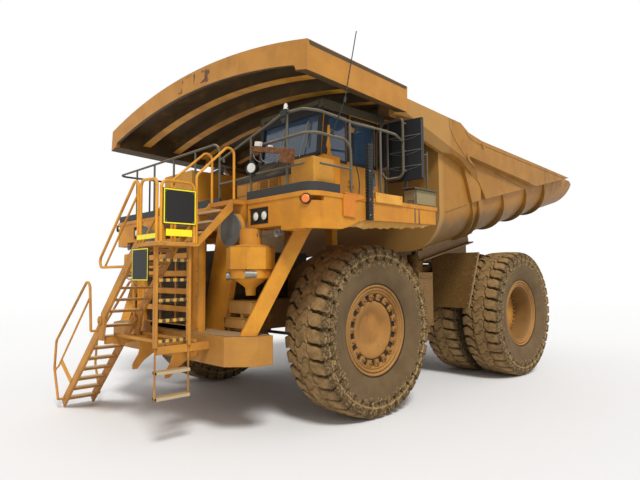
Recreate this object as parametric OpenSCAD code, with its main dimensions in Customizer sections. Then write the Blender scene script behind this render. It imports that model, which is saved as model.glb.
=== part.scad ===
// Rigid mining dump truck with a tipping rock body, two axles and twin rear wheels.
// X runs to the truck's left, Y to its tail and Z up. Zero is on the ground, below the middle of the
// whole length. Lengths are in millimetres.

/* [Wheels] */
// Distance between the front and the rear axle
wheelbase = 5350; // [5200:10:5500]
// Radius of a tyre out to the tips of its lugs
tyre_r = 1490; // [1450:5:1530]
// Width of a tyre
tyre_w = 920; // [860:10:940]
// Radius of a wheel rim at its bead seat
rim_r = 648; // [600:1:680]
// Number of lugs round one shoulder of a tyre
lug_count = 20; // [14:1:26]
// Height of the lugs
lug_h = 75; // [40:5:100]
// Distance from the middle of the truck to the middle of a front tyre
front_track = 2340; // [2300:5:2380]
// Distance from the middle of the truck to the middle of an outer rear tyre
rear_track = 2450; // [2400:5:2500]
// Distance between the middles of two twin tyres
twin_gap = 1080; // [1000:5:1120]

/* [Frame] */
// Half the width over the frame rails
frame_half_w = 800; // [760:5:840]
// Width of one frame rail
rail_w = 300; // [240:10:340]
// Half the width of the front bumper
bumper_half_w = 2300; // [2150:10:2400]
// Height of the underside of the bumper
bumper_z = 1100; // [1000:10:1200]
// Height of the bumper beam
bumper_h = 440; // [380:10:500]

/* [Deck and cab] */
// Height of the deck's walking surface
deck_z = 3650; // [3600:10:3720]
// Half the width of the deck
deck_half_w = 3270; // [3200:10:3290]
// Thickness of the deck plate with its edge
deck_t = 70; // [50:5:100]
// Width of the cab
cab_w = 1650; // [1500:10:1700]
// Height of the cab from the deck to its roof
cab_h = 1700; // [1600:10:1750]
// Thickness of the cab's walls
cab_wall = 60; // [40:5:90]
// Height of the windscreen's sill over the deck
sill_h = 800; // [700:10:900]
// Height of the handrails over the deck
rail_h = 1100; // [900:10:1150]
// Diameter of the handrail tube
tube_d = 44; // [34:2:60]

/* [Body] */
// Half the width of the rock body's lower shell
shell_half_w = 2900; // [2800:10:2950]
// Radius of the rounded turn between side and floor
shell_r = 750; // [600:10:850]
// Thickness of the body's plates
shell_t = 60; // [40:5:80]
// Slope of the body's floor in degrees
floor_slope = 12.8; // [11:0.1:14]
// Half the width of the canopy
canopy_half_w = 3300; // [3280:5:3320]
// Rise of the canopy's arch from its side to its middle
canopy_rise = 420; // [300:10:500]
// Clearance between the cab's roof and the canopy above its rear corner
canopy_clear = 80; // [60:5:150]
// Depth of the canopy's side beams
fascia_h = 440; // [360:10:460]

/* [Access stair] */
// Clear width of the stair between its stringers
stair_w = 600; // [500:10:620]
// Distance of the stair's inner stringer ahead of the truck's middle
stair_y = 5450; // [5400:5:5480]
// Number of steps in the lower flight
lower_steps = 8; // [6:1:10]
// Number of steps in the upper flight
upper_steps = 6; // [4:1:8]

/* [Hidden] */
$fn = 48;

// Clearance between pieces that lie against each other
seat = 0.3;

yellow = "#d9a227";
dusty = "#c79a45";
brown = "#6b5536";
dark = "#33322f";
rubber = "#4a4640";
steel = "#8d8f92";

front_y = -2500;
rear_y = front_y + wheelbase;
// A lug's top is flat, so its middle lies a little inside the tyre's radius
lug_half = 120;
lug_flat = sqrt(tyre_r * tyre_r - lug_half * lug_half);
axle_z = lug_flat;

// Frame levels
rail_low = 1450;
rail_top = 2000;
rear_rail_top = 2700;
rear_rail_low = 2050;
frame_front = -4500;
frame_tail = 4250;
bumper_front = -5150;
bumper_top = bumper_z + bumper_h;
bumper_corner = 350;

// Hoist and body pivots, as [y, z]
bed_pivot = [4100, 2350];
hoist_low = [750, 1250];
hoist_high = [850, 3080];
hoist_x = 1150;

// Steering
kingpin_x = 1650;
knuckle_low = 1150;
knuckle_top = 1900;
arm_back = 450;
tie_z = 1180;

// Places a plate whose outline is given as [y, z], from x0 to x1
module side_plate(points, x0, x1) {
    translate([x0, 0, 0]) rotate([90, 0, 90]) linear_extrude(x1 - x0) polygon(points);
}

// Places a plate whose outline is given as [x, z], from y0 to y1
module face_plate(points, y0, y1) {
    translate([0, y1, 0]) rotate([90, 0, 0]) linear_extrude(y1 - y0) polygon(points);
}

// A plain box from one corner to the opposite one
module block(low, high) {
    translate(low) cube(high - low);
}

// A round bar between two points
module bar(a, b, d) {
    v = b - a;
    l = norm(v);
    translate(a) rotate([0, acos(v.z / l), atan2(v.y, v.x)]) cylinder(d = d, h = l);
}

// A bent tube through a list of points, with elbows of a given radius at its turns. The elbows are
// half a millimetre larger in radius than the straights, which run 5 mm into them.
module rail(points, bend = 120, d = tube_d) {
    n = len(points) - 1;
    dir = [for (i = [0 : n - 1]) (points[i + 1] - points[i]) / norm(points[i + 1] - points[i])];
    turn = [for (i = [0 : n]) i == 0 || i == n ? 0 : acos(dir[i - 1] * dir[i])];
    trim = [for (a = turn) a == 0 ? 0 : bend * tan(a / 2) - 5];
    for (i = [0 : n - 1]) bar(points[i] + dir[i] * trim[i], points[i + 1] - dir[i] * trim[i + 1], d);
    for (i = [1 : n - 1]) {
        inward = (dir[i] - dir[i - 1]) / norm(dir[i] - dir[i - 1]);
        centre = points[i] + inward * bend / cos(turn[i] / 2);
        start = points[i] - dir[i - 1] * bend * tan(turn[i] / 2);
        u = (start - centre) / bend;
        v = dir[i - 1];
        w = cross(u, v);
        multmatrix([[u.x, v.x, w.x, centre.x], [u.y, v.y, w.y, centre.y],
            [u.z, v.z, w.z, centre.z], [0, 0, 0, 1]])
            rotate_extrude(angle = turn[i]) translate([bend, 0]) circle(d = d + 1, $fn = 24);
    }
}

// The children and their mirror image on the truck's right
module both_sides() {
    children();
    mirror([1, 0, 0]) children();
}

// A turned piece about the X axis, from an outline given as [radius, x]
module turned_x(points) {
    rotate([0, 90, 0]) rotate_extrude($fn = 64) polygon(points);
}

// Frame

module frame() {
    rail_side = [[frame_front, rail_low], [frame_front, rail_top], [-900, rail_top],
        [200, 2100], [1900, rear_rail_top], [3900, rear_rail_top], [frame_tail, 2500],
        [frame_tail, 2250], [3950, rear_rail_low], [1900, rear_rail_low], [600, rail_low]];
    inner = frame_half_w - rail_w;
    color(dusty) {
        both_sides() difference() {
            union() {
                side_plate(rail_side, inner, frame_half_w);
                // Bracket that carries the lower pin of the hoist cylinder
                side_plate([[500, 1100], [500, 1500], [1000, 1500], [1000, 1100]],
                    frame_half_w - 20, hoist_x - 190);
            }
            translate([inner - 1, bed_pivot[0], bed_pivot[1]]) rotate([0, 90, 0])
                cylinder(r = 90 + seat, h = rail_w + 2);
        }
        // Pins that the hoist cylinders turn on
        both_sides() translate([hoist_x - 200, hoist_low[0], hoist_low[1]]) rotate([0, 90, 0])
            cylinder(r = 70, h = 300);
        // Cross members between the rails, as [front, rear, low, high]
        for (c = [[-4500, -4250, 1460, 1700], [-1500, -1250, 1460, 1820 - seat], [500, 750, 1460, 1640],
            [1950, 2200, 2100, 2600], [3450, 3700, 2100, 2600]])
            block([-inner - 1, c[0], c[2]], [inner + 1, c[1], c[3]]);
    }
}

module front_bumper() {
    w = bumper_half_w;
    cut = bumper_corner;
    outline = [[-w, frame_front - seat], [-w, bumper_front + cut], [-w + cut, bumper_front],
        [w - cut, bumper_front], [w, bumper_front + cut], [w, frame_front - seat]];
    color(dusty) difference() {
        translate([0, 0, bumper_z]) linear_extrude(bumper_h) polygon(outline);
        // Tow eyes through the beam's lower lip
        both_sides() translate([700, bumper_front + 110, bumper_z - 1])
            cylinder(r = 45, h = bumper_h + 2);
    }
}

module radiator() {
    color(dark) block([-850, -4960, bumper_top + seat], [850, -4760, 3080]);
}

module grille() {
    color(dusty) {
        // Frame with its two side columns, whose outer edges are folded back
        difference() {
            translate([0, 0, bumper_top + seat]) linear_extrude(3100 - bumper_top - seat)
                polygon([[-1140, -4960 - seat], [-1140, -5010], [-1090, -5060], [1090, -5060],
                    [1140, -5010], [1140, -4960 - seat]]);
            block([-780, -5061, bumper_top + 80], [780, -4950, 3020]);
            both_sides() block([850, -5061, bumper_top + 80], [1020, -5030, 3020]);
        }
        // Cross bars over the screen, and the uprights behind them
        for (i = [0 : 4])
            block([-781, -5050, 1590 + i * 300 - 45], [781, -5020, 1590 + i * 300 + 45]);
        for (x = [-270, 270])
            block([x - 20, -5021, bumper_top + 79], [x + 20, -4970, 3021]);
    }
}

module engine() {
    color(dark) {
        block([-470, -4350, 1700 + seat], [470, -2100, 2900]);
    }
}

module drive_line() {
    color(dark) {
        block([-330, -2100 + seat, 1820], [330, -1000, 2350]);
        bar([0, -1000 - 1, 1950], [0, rear_y - 560, 1560], 160);
    }
}

module front_suspension() {
    color(dusty) both_sides() {
        // Strut housing with its bracket on the frame
        translate([kingpin_x, front_y, knuckle_top + seat]) cylinder(r = 185, h = 1100);
        face_plate([[frame_half_w - rail_w, rail_top + seat], [frame_half_w - rail_w, 2500],
            [kingpin_x - 60, 2950], [kingpin_x - 60, 2250], [kingpin_x - 250, rail_top + seat]],
            front_y - 150, front_y + 150);
        // Lower arm with the cup that the knuckle turns on
        face_plate([[frame_half_w - rail_w, 1040], [frame_half_w - rail_w, rail_low - seat],
            [frame_half_w, rail_low - seat], [frame_half_w + 60, 1120], [kingpin_x, 1120],
            [kingpin_x, 1040]], front_y - 150, front_y + 150);
        translate([kingpin_x, front_y, 1040]) cylinder(r = 150, h = knuckle_low - seat - 1040);
    }
}

module rear_axle() {
    color(dusty) {
        translate([0, rear_y, axle_z]) {
            // Housing with its wide middle, then the spindles that the wheels turn on
            turned_x([[0, -2250], [260, -2250], [260, -870], [400, -780], [400, -560],
                [520, -400], [520, 400], [400, 560], [400, 780], [260, 870], [260, 2250], [0, 2250]]);
        }
        // Struts of the rear suspension up to the frame
        both_sides() block([520, rear_y - 130, axle_z + 200],
            [780, rear_y + 130, rear_rail_low - seat]);
    }
}

module fuel_tank() {
    color(dusty) block([-2400, -540, 1250], [-frame_half_w - seat, 480, 2350]);
}

module hydraulic_tank() {
    color(brown) {
        block([frame_half_w + seat, -540, 1360], [2200, -30, 2480]);
        block([frame_half_w + seat, -500, 1210], [2140, -70, 1361]);
    }
}

// Deck

deck_r = 250;
// Back of the recess that the headlamps sit in
lamp_seat_y = -4560;

module deck_outline(grow = 0) {
    r = deck_r + grow;
    w = deck_half_w + grow;
    polygon([[-w + r, -4600 - grow], [w - r, -4600 - grow], [w - r, -4600 + r], [w, -4600 + r],
        [w, -1450 + grow], [-w, -1450 + grow], [-w, -4600 + r], [-w + r, -4600 + r]]);
    for (s = [-1, 1]) translate([s * (w - r), -4600 + r - grow]) circle(r = r);
}

lamp_panel_low = 3180;
stair_end = -4830;
brace_front = -4640;
canister_at = [1870, -4600];
canister_r = 385;
canister_low = 2540;

module deck() {
    color(dusty) {
        translate([0, 0, deck_z - deck_t]) linear_extrude(deck_t) deck_outline();
        // Head of the upper stair
        block([1000, stair_end, deck_z - deck_t], [1720, -4590, deck_z]);
        // Lamp panels that hang below the deck's front edge
        both_sides() {
            difference() {
                block([1790, -4600, lamp_panel_low], [3020, -4200, deck_z - deck_t + 1]);
                block([1830, -4601, 3240], [2310, lamp_seat_y, 3500]);
            }
            block([2610, -4600, 3110], [3020, -4350, lamp_panel_low + 1]);
            // Skirt whose lower edge rises to the rear, round the deck's corner
            side_plate([[-4350, 3110], [-3980, 3120], [-3800, 3170], [-3600, 3250], [-3410, 3290],
                [-1500, 3330], [-1500, deck_z - deck_t + 1], [-4350, deck_z - deck_t + 1]],
                3200, deck_half_w);
            translate([deck_half_w - deck_r, -4600 + deck_r, 3110]) rotate([0, 0, -90])
                rotate_extrude(angle = 90) translate([deck_r - 70, 0]) square([70, 400]);
        }
    }
}

// A box beam between two points, before its ends are trimmed
module beam(a, b, w, h) {
    v = b - a;
    l = norm(v);
    translate(a) rotate([0, acos(v.z / l), atan2(v.y, v.x)]) translate([-h / 2, -w / 2, 0])
        cube([h, w, l]);
}

module deck_struts() {
    under = deck_z - deck_t - seat;
    color(dusty) both_sides() {
        // Wide sloping plate from the bumper to the deck
        difference() {
            face_plate([[520, bumper_top + seat], [1180, bumper_top + seat], [1760, under],
                [1100, under]], brace_front, brace_front + 100);
            translate([canister_at[0], canister_at[1], canister_low - seat])
                cylinder(r = canister_r + 2 * seat, h = 341 + 2 * seat, $fn = 8);
        }
        // Slender diagonal strut
        intersection() {
            beam([2000, -4900, 1300], [2590, -4020, 3350], 190, 230);
            block([1700, bumper_front + 60, bumper_top + seat], [3000, -3900, lamp_panel_low - seat]);
        }
        // Rear post on the frame rail
        block([frame_half_w - 220, -1640, rail_top + seat],
            [frame_half_w - 20, -1480, under]);
    }
}

post_d = tube_d - 4;

module deck_rails() {
    z = deck_z + seat;
    top = deck_z + rail_h;
    x = deck_half_w - 60;
    y = -4540;
    color(dark) {
        rail([[-x, -2350, z], [-x, -2350, top], [-x, y, top], [900, y, top], [900, y, z]], 200);
        for (p = [-2300, -1500, -700, 100]) bar([p, y, z], [p, y, top], post_d);
        for (p = [-3800, -3070]) bar([-x, p, z], [-x, p, top], post_d);
        bar([2690, y, z], [2690, y, top + 210], post_d);
        rail([[1800, y, z], [1800, y, top - 250], [x, y, top - 250], [x, -3700, top - 250],
            [x, -3700, z]], 200);
        // Toe boards round the deck's edge
        for (run = [[-3340, 980, -2400], [1740, 3340, -3990]])
            translate([0, 0, z]) linear_extrude(130) intersection() {
                difference() {
                    deck_outline(-20);
                    deck_outline(-32);
                }
                translate([run[0], -4700]) square([run[1] - run[0], run[2] + 4700]);
            }
    }
}

// Access stair: all flights run across the front of the truck

stair_front = -(stair_y + stair_w + 50);
stair_foot = [-2030, 80];
stair_hinge = [-230, 1720];
stair_top = [1080, 2940];
landing_x = 1722;
hinge_pin_r = 25;
upper_start = stair_hinge + [60, 56];
board_x = landing_x - 24;

// One stringer between two points given as [x, z]
module stringer(a, b, y0, y1, depth = 160) {
    v = b - a;
    n = [-v[1], v[0]] / norm(v) * depth / 2;
    face_plate([a - n, b - n, b + n, a + n], y0, y1);
}

module flight(a, b, steps, inset, depth = 160) {
    y0 = stair_front + inset;
    y1 = -stair_y - inset;
    stringer(a, b, y0, y0 + 40, depth);
    stringer(a, b, y1 - 40, y1, depth);
    for (i = [1 : steps]) {
        p = a + (b - a) * (i - 0.5) / steps;
        block([p[0] - 110, y0 + 39, p[1] - 15], [p[0] + 110, y1 - 39, p[1] + 15]);
    }
}

module access_stair() {
    color(dusty) {
        flight(upper_start, stair_top, upper_steps, 0);
        // Landing
        block([1040, stair_front, 2880], [landing_x, -stair_y, 2930]);
        // Ladder below the landing
        for (y = [stair_front + 60, -stair_y - 60])
            block([1530, y - 25, 1430], [1590, y + 25, 2881]);
        for (i = [0 : 4]) block([1540, stair_front + 60, 1500 + i * 290],
            [1580, -stair_y - 60, 1540 + i * 290]);
        // Arms that carry the stair on the bumper
        for (x = [-260, 1500]) block([x, stair_front + 80, 1330], [x + 60, bumper_front - seat, 1450]);
        // Hinge brackets of the lower flight
        for (y = [stair_front, -stair_y - 40])
            face_plate([[-300, 1400], [-140, 1400], [-40, 1800], [-120, 1900], [-290, 1740]],
                y, y + 39);
        for (y = [stair_front + 38, -stair_y - 80])
            translate([stair_hinge[0], y + 42, stair_hinge[1]]) rotate([90, 0, 0])
                cylinder(r = hinge_pin_r, h = 42);
        // Hanging step
        for (y = [stair_front + 60, -stair_y - 60]) block([1545, y - 8, 700], [1575, y + 8, 1431]);
        for (z = [700, 1060])
            block([1500, stair_front + 60, z], [1620, -stair_y - 60, z + 40]);
        // Upper stair from the landing back to the deck
        for (x = [1040, landing_x - 40])
            side_plate([[-stair_y, 2880], [-stair_y, 3000], [stair_end - seat, deck_z],
                [stair_end - seat, deck_z - 180]], x, x + 40);
        for (i = [1 : 3]) block([1079, -stair_y + i * 160 - 90, 2900 + i * 180],
            [landing_x - 39, -stair_y + i * 160 + 90, 2930 + i * 180]);
    }
}

module stair_rails() {
    y0 = stair_front + 23;
    y1 = -stair_y - 23;
    z = 2930 + seat;
    color(yellow) {
        difference() {
            for (y = [y0, y1])
                rail([[700, y, 2600], [-500, y, 2600], [1060, y, 4010], [1060, y, 2900]], 100);
            for (y = [stair_front, -stair_y - 40])
                stringer(upper_start, stair_top + [seat, seat], y - seat, y + 40 + seat, 160 + 2 * seat);
            block([1000, stair_front - 50, 2800], [landing_x, -stair_y + 50, z]);
        }
        rail([[1140, y0, z], [1140, y0, 3880], [1640, y0, 3840], [1640, y0, z]], 100);
        rail([[board_x, -6040, z], [board_x, -6040, 3820], [board_x, -5510, 3820],
            [board_x, -5510, z]], 100);
        for (p = [[1065, y1 - 60], [board_x, y1]])
            rail([[p[0], p[1], z], [p[0], p[1], 3950], [p[0], stair_end + 30, 4600],
                [p[0], stair_end + 30, deck_z + seat]], 100, post_d);
    }
}

module number_boards() {
    x = board_x + tube_d / 2 + 0.5 + seat;
    color(dark) {
        block([x, -6030, 3190], [x + 12, -5500, 3710]);
        block([950, stair_front - 12 - seat, 2380], [1470, stair_front - seat, 2860]);
    }
}

module lower_stair() {
    y0 = -(tail_y - tube_d / 2 - 0.5);
    y1 = -stair_y + 45;
    color(dusty) {
        difference() {
            union() {
                flight(stair_foot, stair_hinge, lower_steps, 42);
                for (y = [stair_front + 82, -stair_y - 42])
                    translate([stair_hinge[0], y, stair_hinge[1]]) rotate([90, 0, 0])
                        cylinder(r = 70, h = 40);
            }
            translate([stair_hinge[0], -stair_y, stair_hinge[1]]) rotate([90, 0, 0])
                cylinder(r = hinge_pin_r + seat, h = stair_w + 60);
        }
        for (y = [y0, y1]) {
            rail([[-450, y, 1540], [-540, y, 2460], [-2120, y, 1240], [-2190, y, 720],
                [-1950, y, 180]]);
            for (p = [[-450, 1540], [-1950, 180]])
                bar([p[0], y, p[1]], [p[0], y == y0 ? stair_front + 60 : -stair_y - 60, p[1]], post_d);
        }
    }
}

// Fittings on the front

module air_cleaners() {
    color(dark) both_sides() translate([1510, brace_front - seat, 3180]) rotate([90, 0, 0])
        cylinder(r = 280, h = 80);
    color(dusty) both_sides() translate([canister_at[0], canister_at[1], 0]) {
        translate([0, 0, canister_low + 340]) cylinder(r = 150, h = lamp_panel_low - seat - canister_low - 340);
        translate([0, 0, canister_low]) cylinder(r = canister_r, h = 341, $fn = 8);
        translate([0, 0, canister_low - 120]) cylinder(r = 315, h = 121);
        translate([0, 0, canister_low - 290]) cylinder(r1 = 80, r2 = 260, h = 171);
        translate([0, 0, canister_low - 390]) cylinder(r = 70, h = 110);
    }
}

module lamps() {
    color("white") both_sides() for (x = [1990, 2195])
        translate([x, lamp_seat_y - seat, 3370]) rotate([90, 0, 0]) cylinder(r = 72, h = 30);
    color("orange") both_sides() translate([deck_half_w - deck_r, -4600 + deck_r, 3530])
        rotate([0, 0, -62]) translate([deck_r + seat, 0, 0]) rotate([0, 90, 0]) cylinder(r = 66, h = 35);
}

// Cab, on the truck's left

cab_x = 850;
cab_far_x = cab_x + cab_w;
cab_front = -3650;
cab_rear = -2000;
cab_floor = deck_z + seat;
cab_roof = deck_z + cab_h;
sill_z = deck_z + sill_h;
door_front = -2930;
door_rear = -2170;
door_low = deck_z + 120;
door_high = cab_roof - 130;
window_low = sill_z - 60;
window_high = cab_roof - 190;
glass_t = 12;

module cab_profile(inset) {
    polygon([[cab_front + inset, cab_floor + inset], [cab_front + inset, sill_z],
        [cab_front + 90 + inset, cab_roof - inset], [cab_rear - inset, cab_roof - inset],
        [cab_rear - inset, cab_floor + inset]]);
}

module cab_solid(inset) {
    translate([cab_x + inset, 0, 0]) rotate([90, 0, 90]) linear_extrude(cab_w - 2 * inset)
        cab_profile(inset);
}

// Hinges of the doors, at two heights each. The pins stand outside the cab's wall.
hinge_out = 22;
hinge_y = door_front + 5;
hinge_h = 80;
hinge_z = [door_low + 200, door_high - 300];

module hinge_fixed(x, s) {
    for (z = hinge_z) {
        translate([x + s * hinge_out, hinge_y, z - 14]) cylinder(r = 10, h = hinge_h + 28);
        for (low = [z - 14, z + hinge_h + 2]) {
            block([s > 0 ? x - 1 : x - hinge_out - 14, hinge_y - 70, low],
                [s > 0 ? x + hinge_out + 14 : x + 1, hinge_y - 6, low + 12]);
            block([s > 0 ? x + 6 : x - hinge_out - 14, hinge_y - 7, low],
                [s > 0 ? x + hinge_out + 14 : x - 6, hinge_y + 14, low + 12]);
        }
    }
}

module hinge_moving(x, s) {
    for (z = hinge_z) difference() {
        union() {
            translate([x + s * hinge_out, hinge_y, z]) cylinder(r = 20, h = hinge_h);
            block([s > 0 ? x - 1 : x - hinge_out, hinge_y + 6, z], [s > 0 ? x + hinge_out : x + 1, hinge_y + 70, z + hinge_h]);
        }
        translate([x + s * hinge_out, hinge_y, z - 1]) cylinder(r = 10 + seat, h = hinge_h + 2);
    }
}

module cab_shell() {
    color(yellow) {
        hinge_fixed(cab_far_x, 1);
        hinge_fixed(cab_x, -1);
    }
    color(yellow) difference() {
        cab_solid(0);
        cab_solid(cab_wall);
        // Windscreen and rear window
        block([cab_x + 90, cab_front - 10, sill_z + 20], [cab_far_x - 90, cab_front + 200, window_high]);
        block([cab_x + 200, cab_rear - 100, window_low], [cab_far_x - 200, cab_rear + 10, window_high]);
        // Doorways and the quarter windows ahead of them
        for (x = [cab_x - 10, cab_far_x - cab_wall - 10]) {
            block([x, door_front, door_low], [x + cab_wall + 20, door_rear, door_high]);
            block([x, cab_front + 180, window_low], [x + cab_wall + 20, door_front - 90, window_high]);
        }
    }
}

module cab_glass() {
    g = seat;
    color("#7fa6b8", 0.5) {
        // Panes of the windscreen and the rear window
        intersection() {
            difference() {
                cab_solid(20);
                cab_solid(20 + glass_t);
            }
            union() {
                block([cab_x + 90 + g, cab_front - 10, sill_z + 20 + g],
                    [cab_far_x - 90 - g, cab_front + 200, window_high - g]);
                block([cab_x + 200 + g, cab_rear - 100, window_low + g],
                    [cab_far_x - 200 - g, cab_rear + 10, window_high - g]);
            }
        }
        for (x = [cab_x + 20, cab_far_x - 20 - glass_t])
            block([x, cab_front + 180 + g, window_low + g],
                [x + glass_t, door_front - 90 - g, window_high - g]);
    }
}

module cab_interior() {
    z = cab_floor + cab_wall + seat;
    color(dark) {
        block([cab_x + 400, cab_front + 60 + seat + 40, z], [cab_far_x - 400, cab_front + 400, z + 700]);
        block([1450, -2950, z], [1950, -2450, z + 420]);
        block([1450, -2500, z + 419], [1950, -2400, z + 1000]);
    }
}

module door(x) {
    color(yellow) difference() {
        block([x, door_front + 5, door_low + 5], [x + cab_wall, door_rear - 5, door_high - 5]);
        block([x - 1, door_front + 90, window_low + 5], [x + cab_wall + 1, door_rear - 90, window_high - 5]);
    }
}

module door_glass(x) {
    color("#7fa6b8", 0.5) block([x, door_front + 90 + seat, window_low + 5 + seat],
        [x + glass_t, door_rear - 90 - seat, window_high - 5 - seat]);
}

module door_left() {
    door(cab_far_x - cab_wall);
    color(yellow) hinge_moving(cab_far_x, 1);
}

module door_glass_left() { door_glass(cab_far_x - 20 - glass_t); }

module door_right() {
    door(cab_x);
    color(yellow) hinge_moving(cab_x, -1);
}

module door_glass_right() { door_glass(cab_x + 20); }

module cab_lockers() {
    color(yellow) {
        side_plate([[-4150, deck_z + seat], [-4150, sill_z - 360], [-4130, sill_z - 340],
            [cab_front - seat, sill_z], [cab_front - seat, deck_z + seat]], cab_x + 20, cab_far_x - 20);
        block([2560, -4350, deck_z + seat], [3050, -3900, deck_z + 550]);
        block([-1700, -4200, deck_z + seat], [-600, -3000, deck_z + 900]);
    }
}

mirror_at = [3035, -2055];

module mirrors() {
    z = deck_z + 450;
    // The tops stay below the canopy's side beams
    top = canopy_top - canopy_rise - (mirror_at[1] - canopy_front) * tan(canopy_slope) - fascia_h - 32;
    color(dark) both_sides() {
        translate([mirror_at[0], mirror_at[1], z]) rotate([0, 0, 9]) translate([-340, -30, 0])
            cube([680, 60, top - z]);
        bar([mirror_at[0], mirror_at[1], deck_z + seat], [mirror_at[0], mirror_at[1], z + 1], 50);
    }
}

module mast() {
    x = deck_half_w - 60;
    z = deck_z + rail_h - 250 + tube_d / 2 + seat;
    foot = [x, -4100, z + 30];
    knee = [3345, -3970, 5042];
    tip = [3345, -3690, 6190];
    lie = (tip - knee) / norm(tip - knee);
    color(dark) {
        translate([x, -4100, z]) cylinder(r = 30, h = 60);
        bar(knee, foot, 20);
        // Coupling that joins the bent foot to the whip
        bar(knee - lie * 45, knee + lie * 45, 46);
        bar(knee + lie * 10, tip, 16);
    }
}

module rock_guards() {
    color(brown) both_sides() {
        face_plate([[1360, 1660], [2300, 1660], [2590, 2930], [1360, 2930]], 1220, 1250);
        block([frame_half_w + seat, 1249, 1790], [2200, 1330, 1880]);
    }
}

// Rock body. Its shell is a trough that slopes up to the tail: the joint line runs at the height
// joint_z over the truck's middle, and the outlines are drawn square to that line.

joint_z = 3857;
wall_front = -800;
tail_y = 6190;

module shell_section(grow) {
    r = shell_r + grow;
    w = shell_half_w - shell_r;
    translate([-w - r, 0]) square([2 * (w + r), 2600]);
    translate([-w, -r]) square([2 * w, r + 1]);
    for (s = [-1, 1]) translate([s * w, 0]) circle(r = r, $fn = 96);
}

// Places an outline drawn square to the joint line as a slab that runs from one distance to another
module along_joint(from, to) {
    translate([0, 0, joint_z]) rotate([floor_slope, 0, 0]) translate([0, to, 0])
        rotate([90, 0, 0]) linear_extrude(to - from) children();
}

module trough(grow, from, to) {
    along_joint(from, to) shell_section(grow);
}

// Places the canopy's own axes: x across, y back from the front edge, z down from the arch's crown
module on_canopy() {
    translate([0, canopy_front, canopy_top]) rotate([-canopy_slope, 0, 0]) children();
}

// A band of the canopy's arch between two radii, over a half width and a run behind the front edge.
// The arch is drawn in short straight steps.
function arch_line(r, half_w) = [for (i = [-arch_steps : 2 : arch_steps])
    let (x = i / arch_steps * half_w) [x, sqrt(r * r - x * x) - arch_r]];

function reversed(list) = [for (i = [len(list) - 1 : -1 : 0]) list[i]];

module arch(r_out, r_in, half_w, from, to) {
    face_plate(concat(arch_line(r_out, half_w), reversed(arch_line(r_in, half_w))), from, to);
}

arch_steps = 20;
canopy_front = -4660;
canopy_slope = 2.7;
canopy_t = 50;
// Length of the wide front part and of the whole, and the drop of the narrower rear part
canopy_wide_len = 2350;
canopy_len = 3925;
canopy_drop = 115;
canopy_rib_t = 100;
canopy_rib_h = 240;
fascia_t = 60;
side_beam_w = 240;
arch_r = (canopy_half_w * canopy_half_w + canopy_rise * canopy_rise) / (2 * canopy_rise);
// Height of the canopy's crown at its front edge. It clears the rear corner of the cab's roof.
canopy_top = cab_roof + canopy_clear + canopy_t + canopy_rib_h + canopy_drop
    + (cab_rear - canopy_front) * tan(canopy_slope) + arch_r - sqrt(arch_r * arch_r - cab_far_x * cab_far_x);
// How much shallower the front plate is than the side beams, and the width of its rounded ends
haunch_h = 70;
haunch_w = 130;
flange_t = 20;
flange_out = 40;

// Height of the body's front wall
wall_top = 5470;

// Y of the wide canopy's rear face at a height
function canopy_face(z) = canopy_front + canopy_wide_len / cos(canopy_slope)
    - (canopy_top - z) * tan(canopy_slope) + seat;

top_line = [[wall_front, wall_top], [-260, wall_top], [40, 5350], [570, 5270], [4000, 5130], [6000, 5080],
    [tail_y, 5010]];

module bed_shell() {
    color(dusty) {
        difference() {
            intersection() {
                trough(0, -1500, 6800);
                side_plate(concat([[wall_front, 2000]], top_line,
                    [[tail_y, 2000]]), -4000, 4000);
            }
            difference() {
                trough(-shell_t, -1500, 6900);
                block([-4000, wall_front - 900, 2000], [4000, wall_front + shell_t, 6500]);
            }
        }
    }
}

// Ribs round the shell's lower corners. Each is a crescent, deepest halfway down.
rib_y = [400, 680, 1850, 3080, 4200];
rib_out = 100;
rib_shift = 157;
rib_t = 40;
// Outer faces of the side sheets, and of the wing and the top rail that stand out from them
sheet_x = 2985;
wing_x = 3100;

// Height of the joint line at a distance
function joint_at(y) = joint_z + y * tan(floor_slope);

module rib_section() {
    for (s = [-1, 1]) translate([s * (shell_half_w - shell_r + rib_shift), -rib_shift])
        circle(r = shell_r + rib_out - rib_shift * sqrt(2), $fn = 96);
}

// Cuts away what lies outside the plane through the edge a to b and the point c
module slanting_cut(a, b, c) {
    u = (b - a) / norm(b - a);
    across = (c - a) - u * ((c - a) * u);
    w = across / norm(across);
    n = cross(w, u);
    multmatrix([[u.x, w.x, n.x, a.x], [u.y, w.y, n.y, a.y], [u.z, w.z, n.z, a.z], [0, 0, 0, 1]])
        translate([-1500, -10, 0]) cube([4500, 900, 900]);
}

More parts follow.
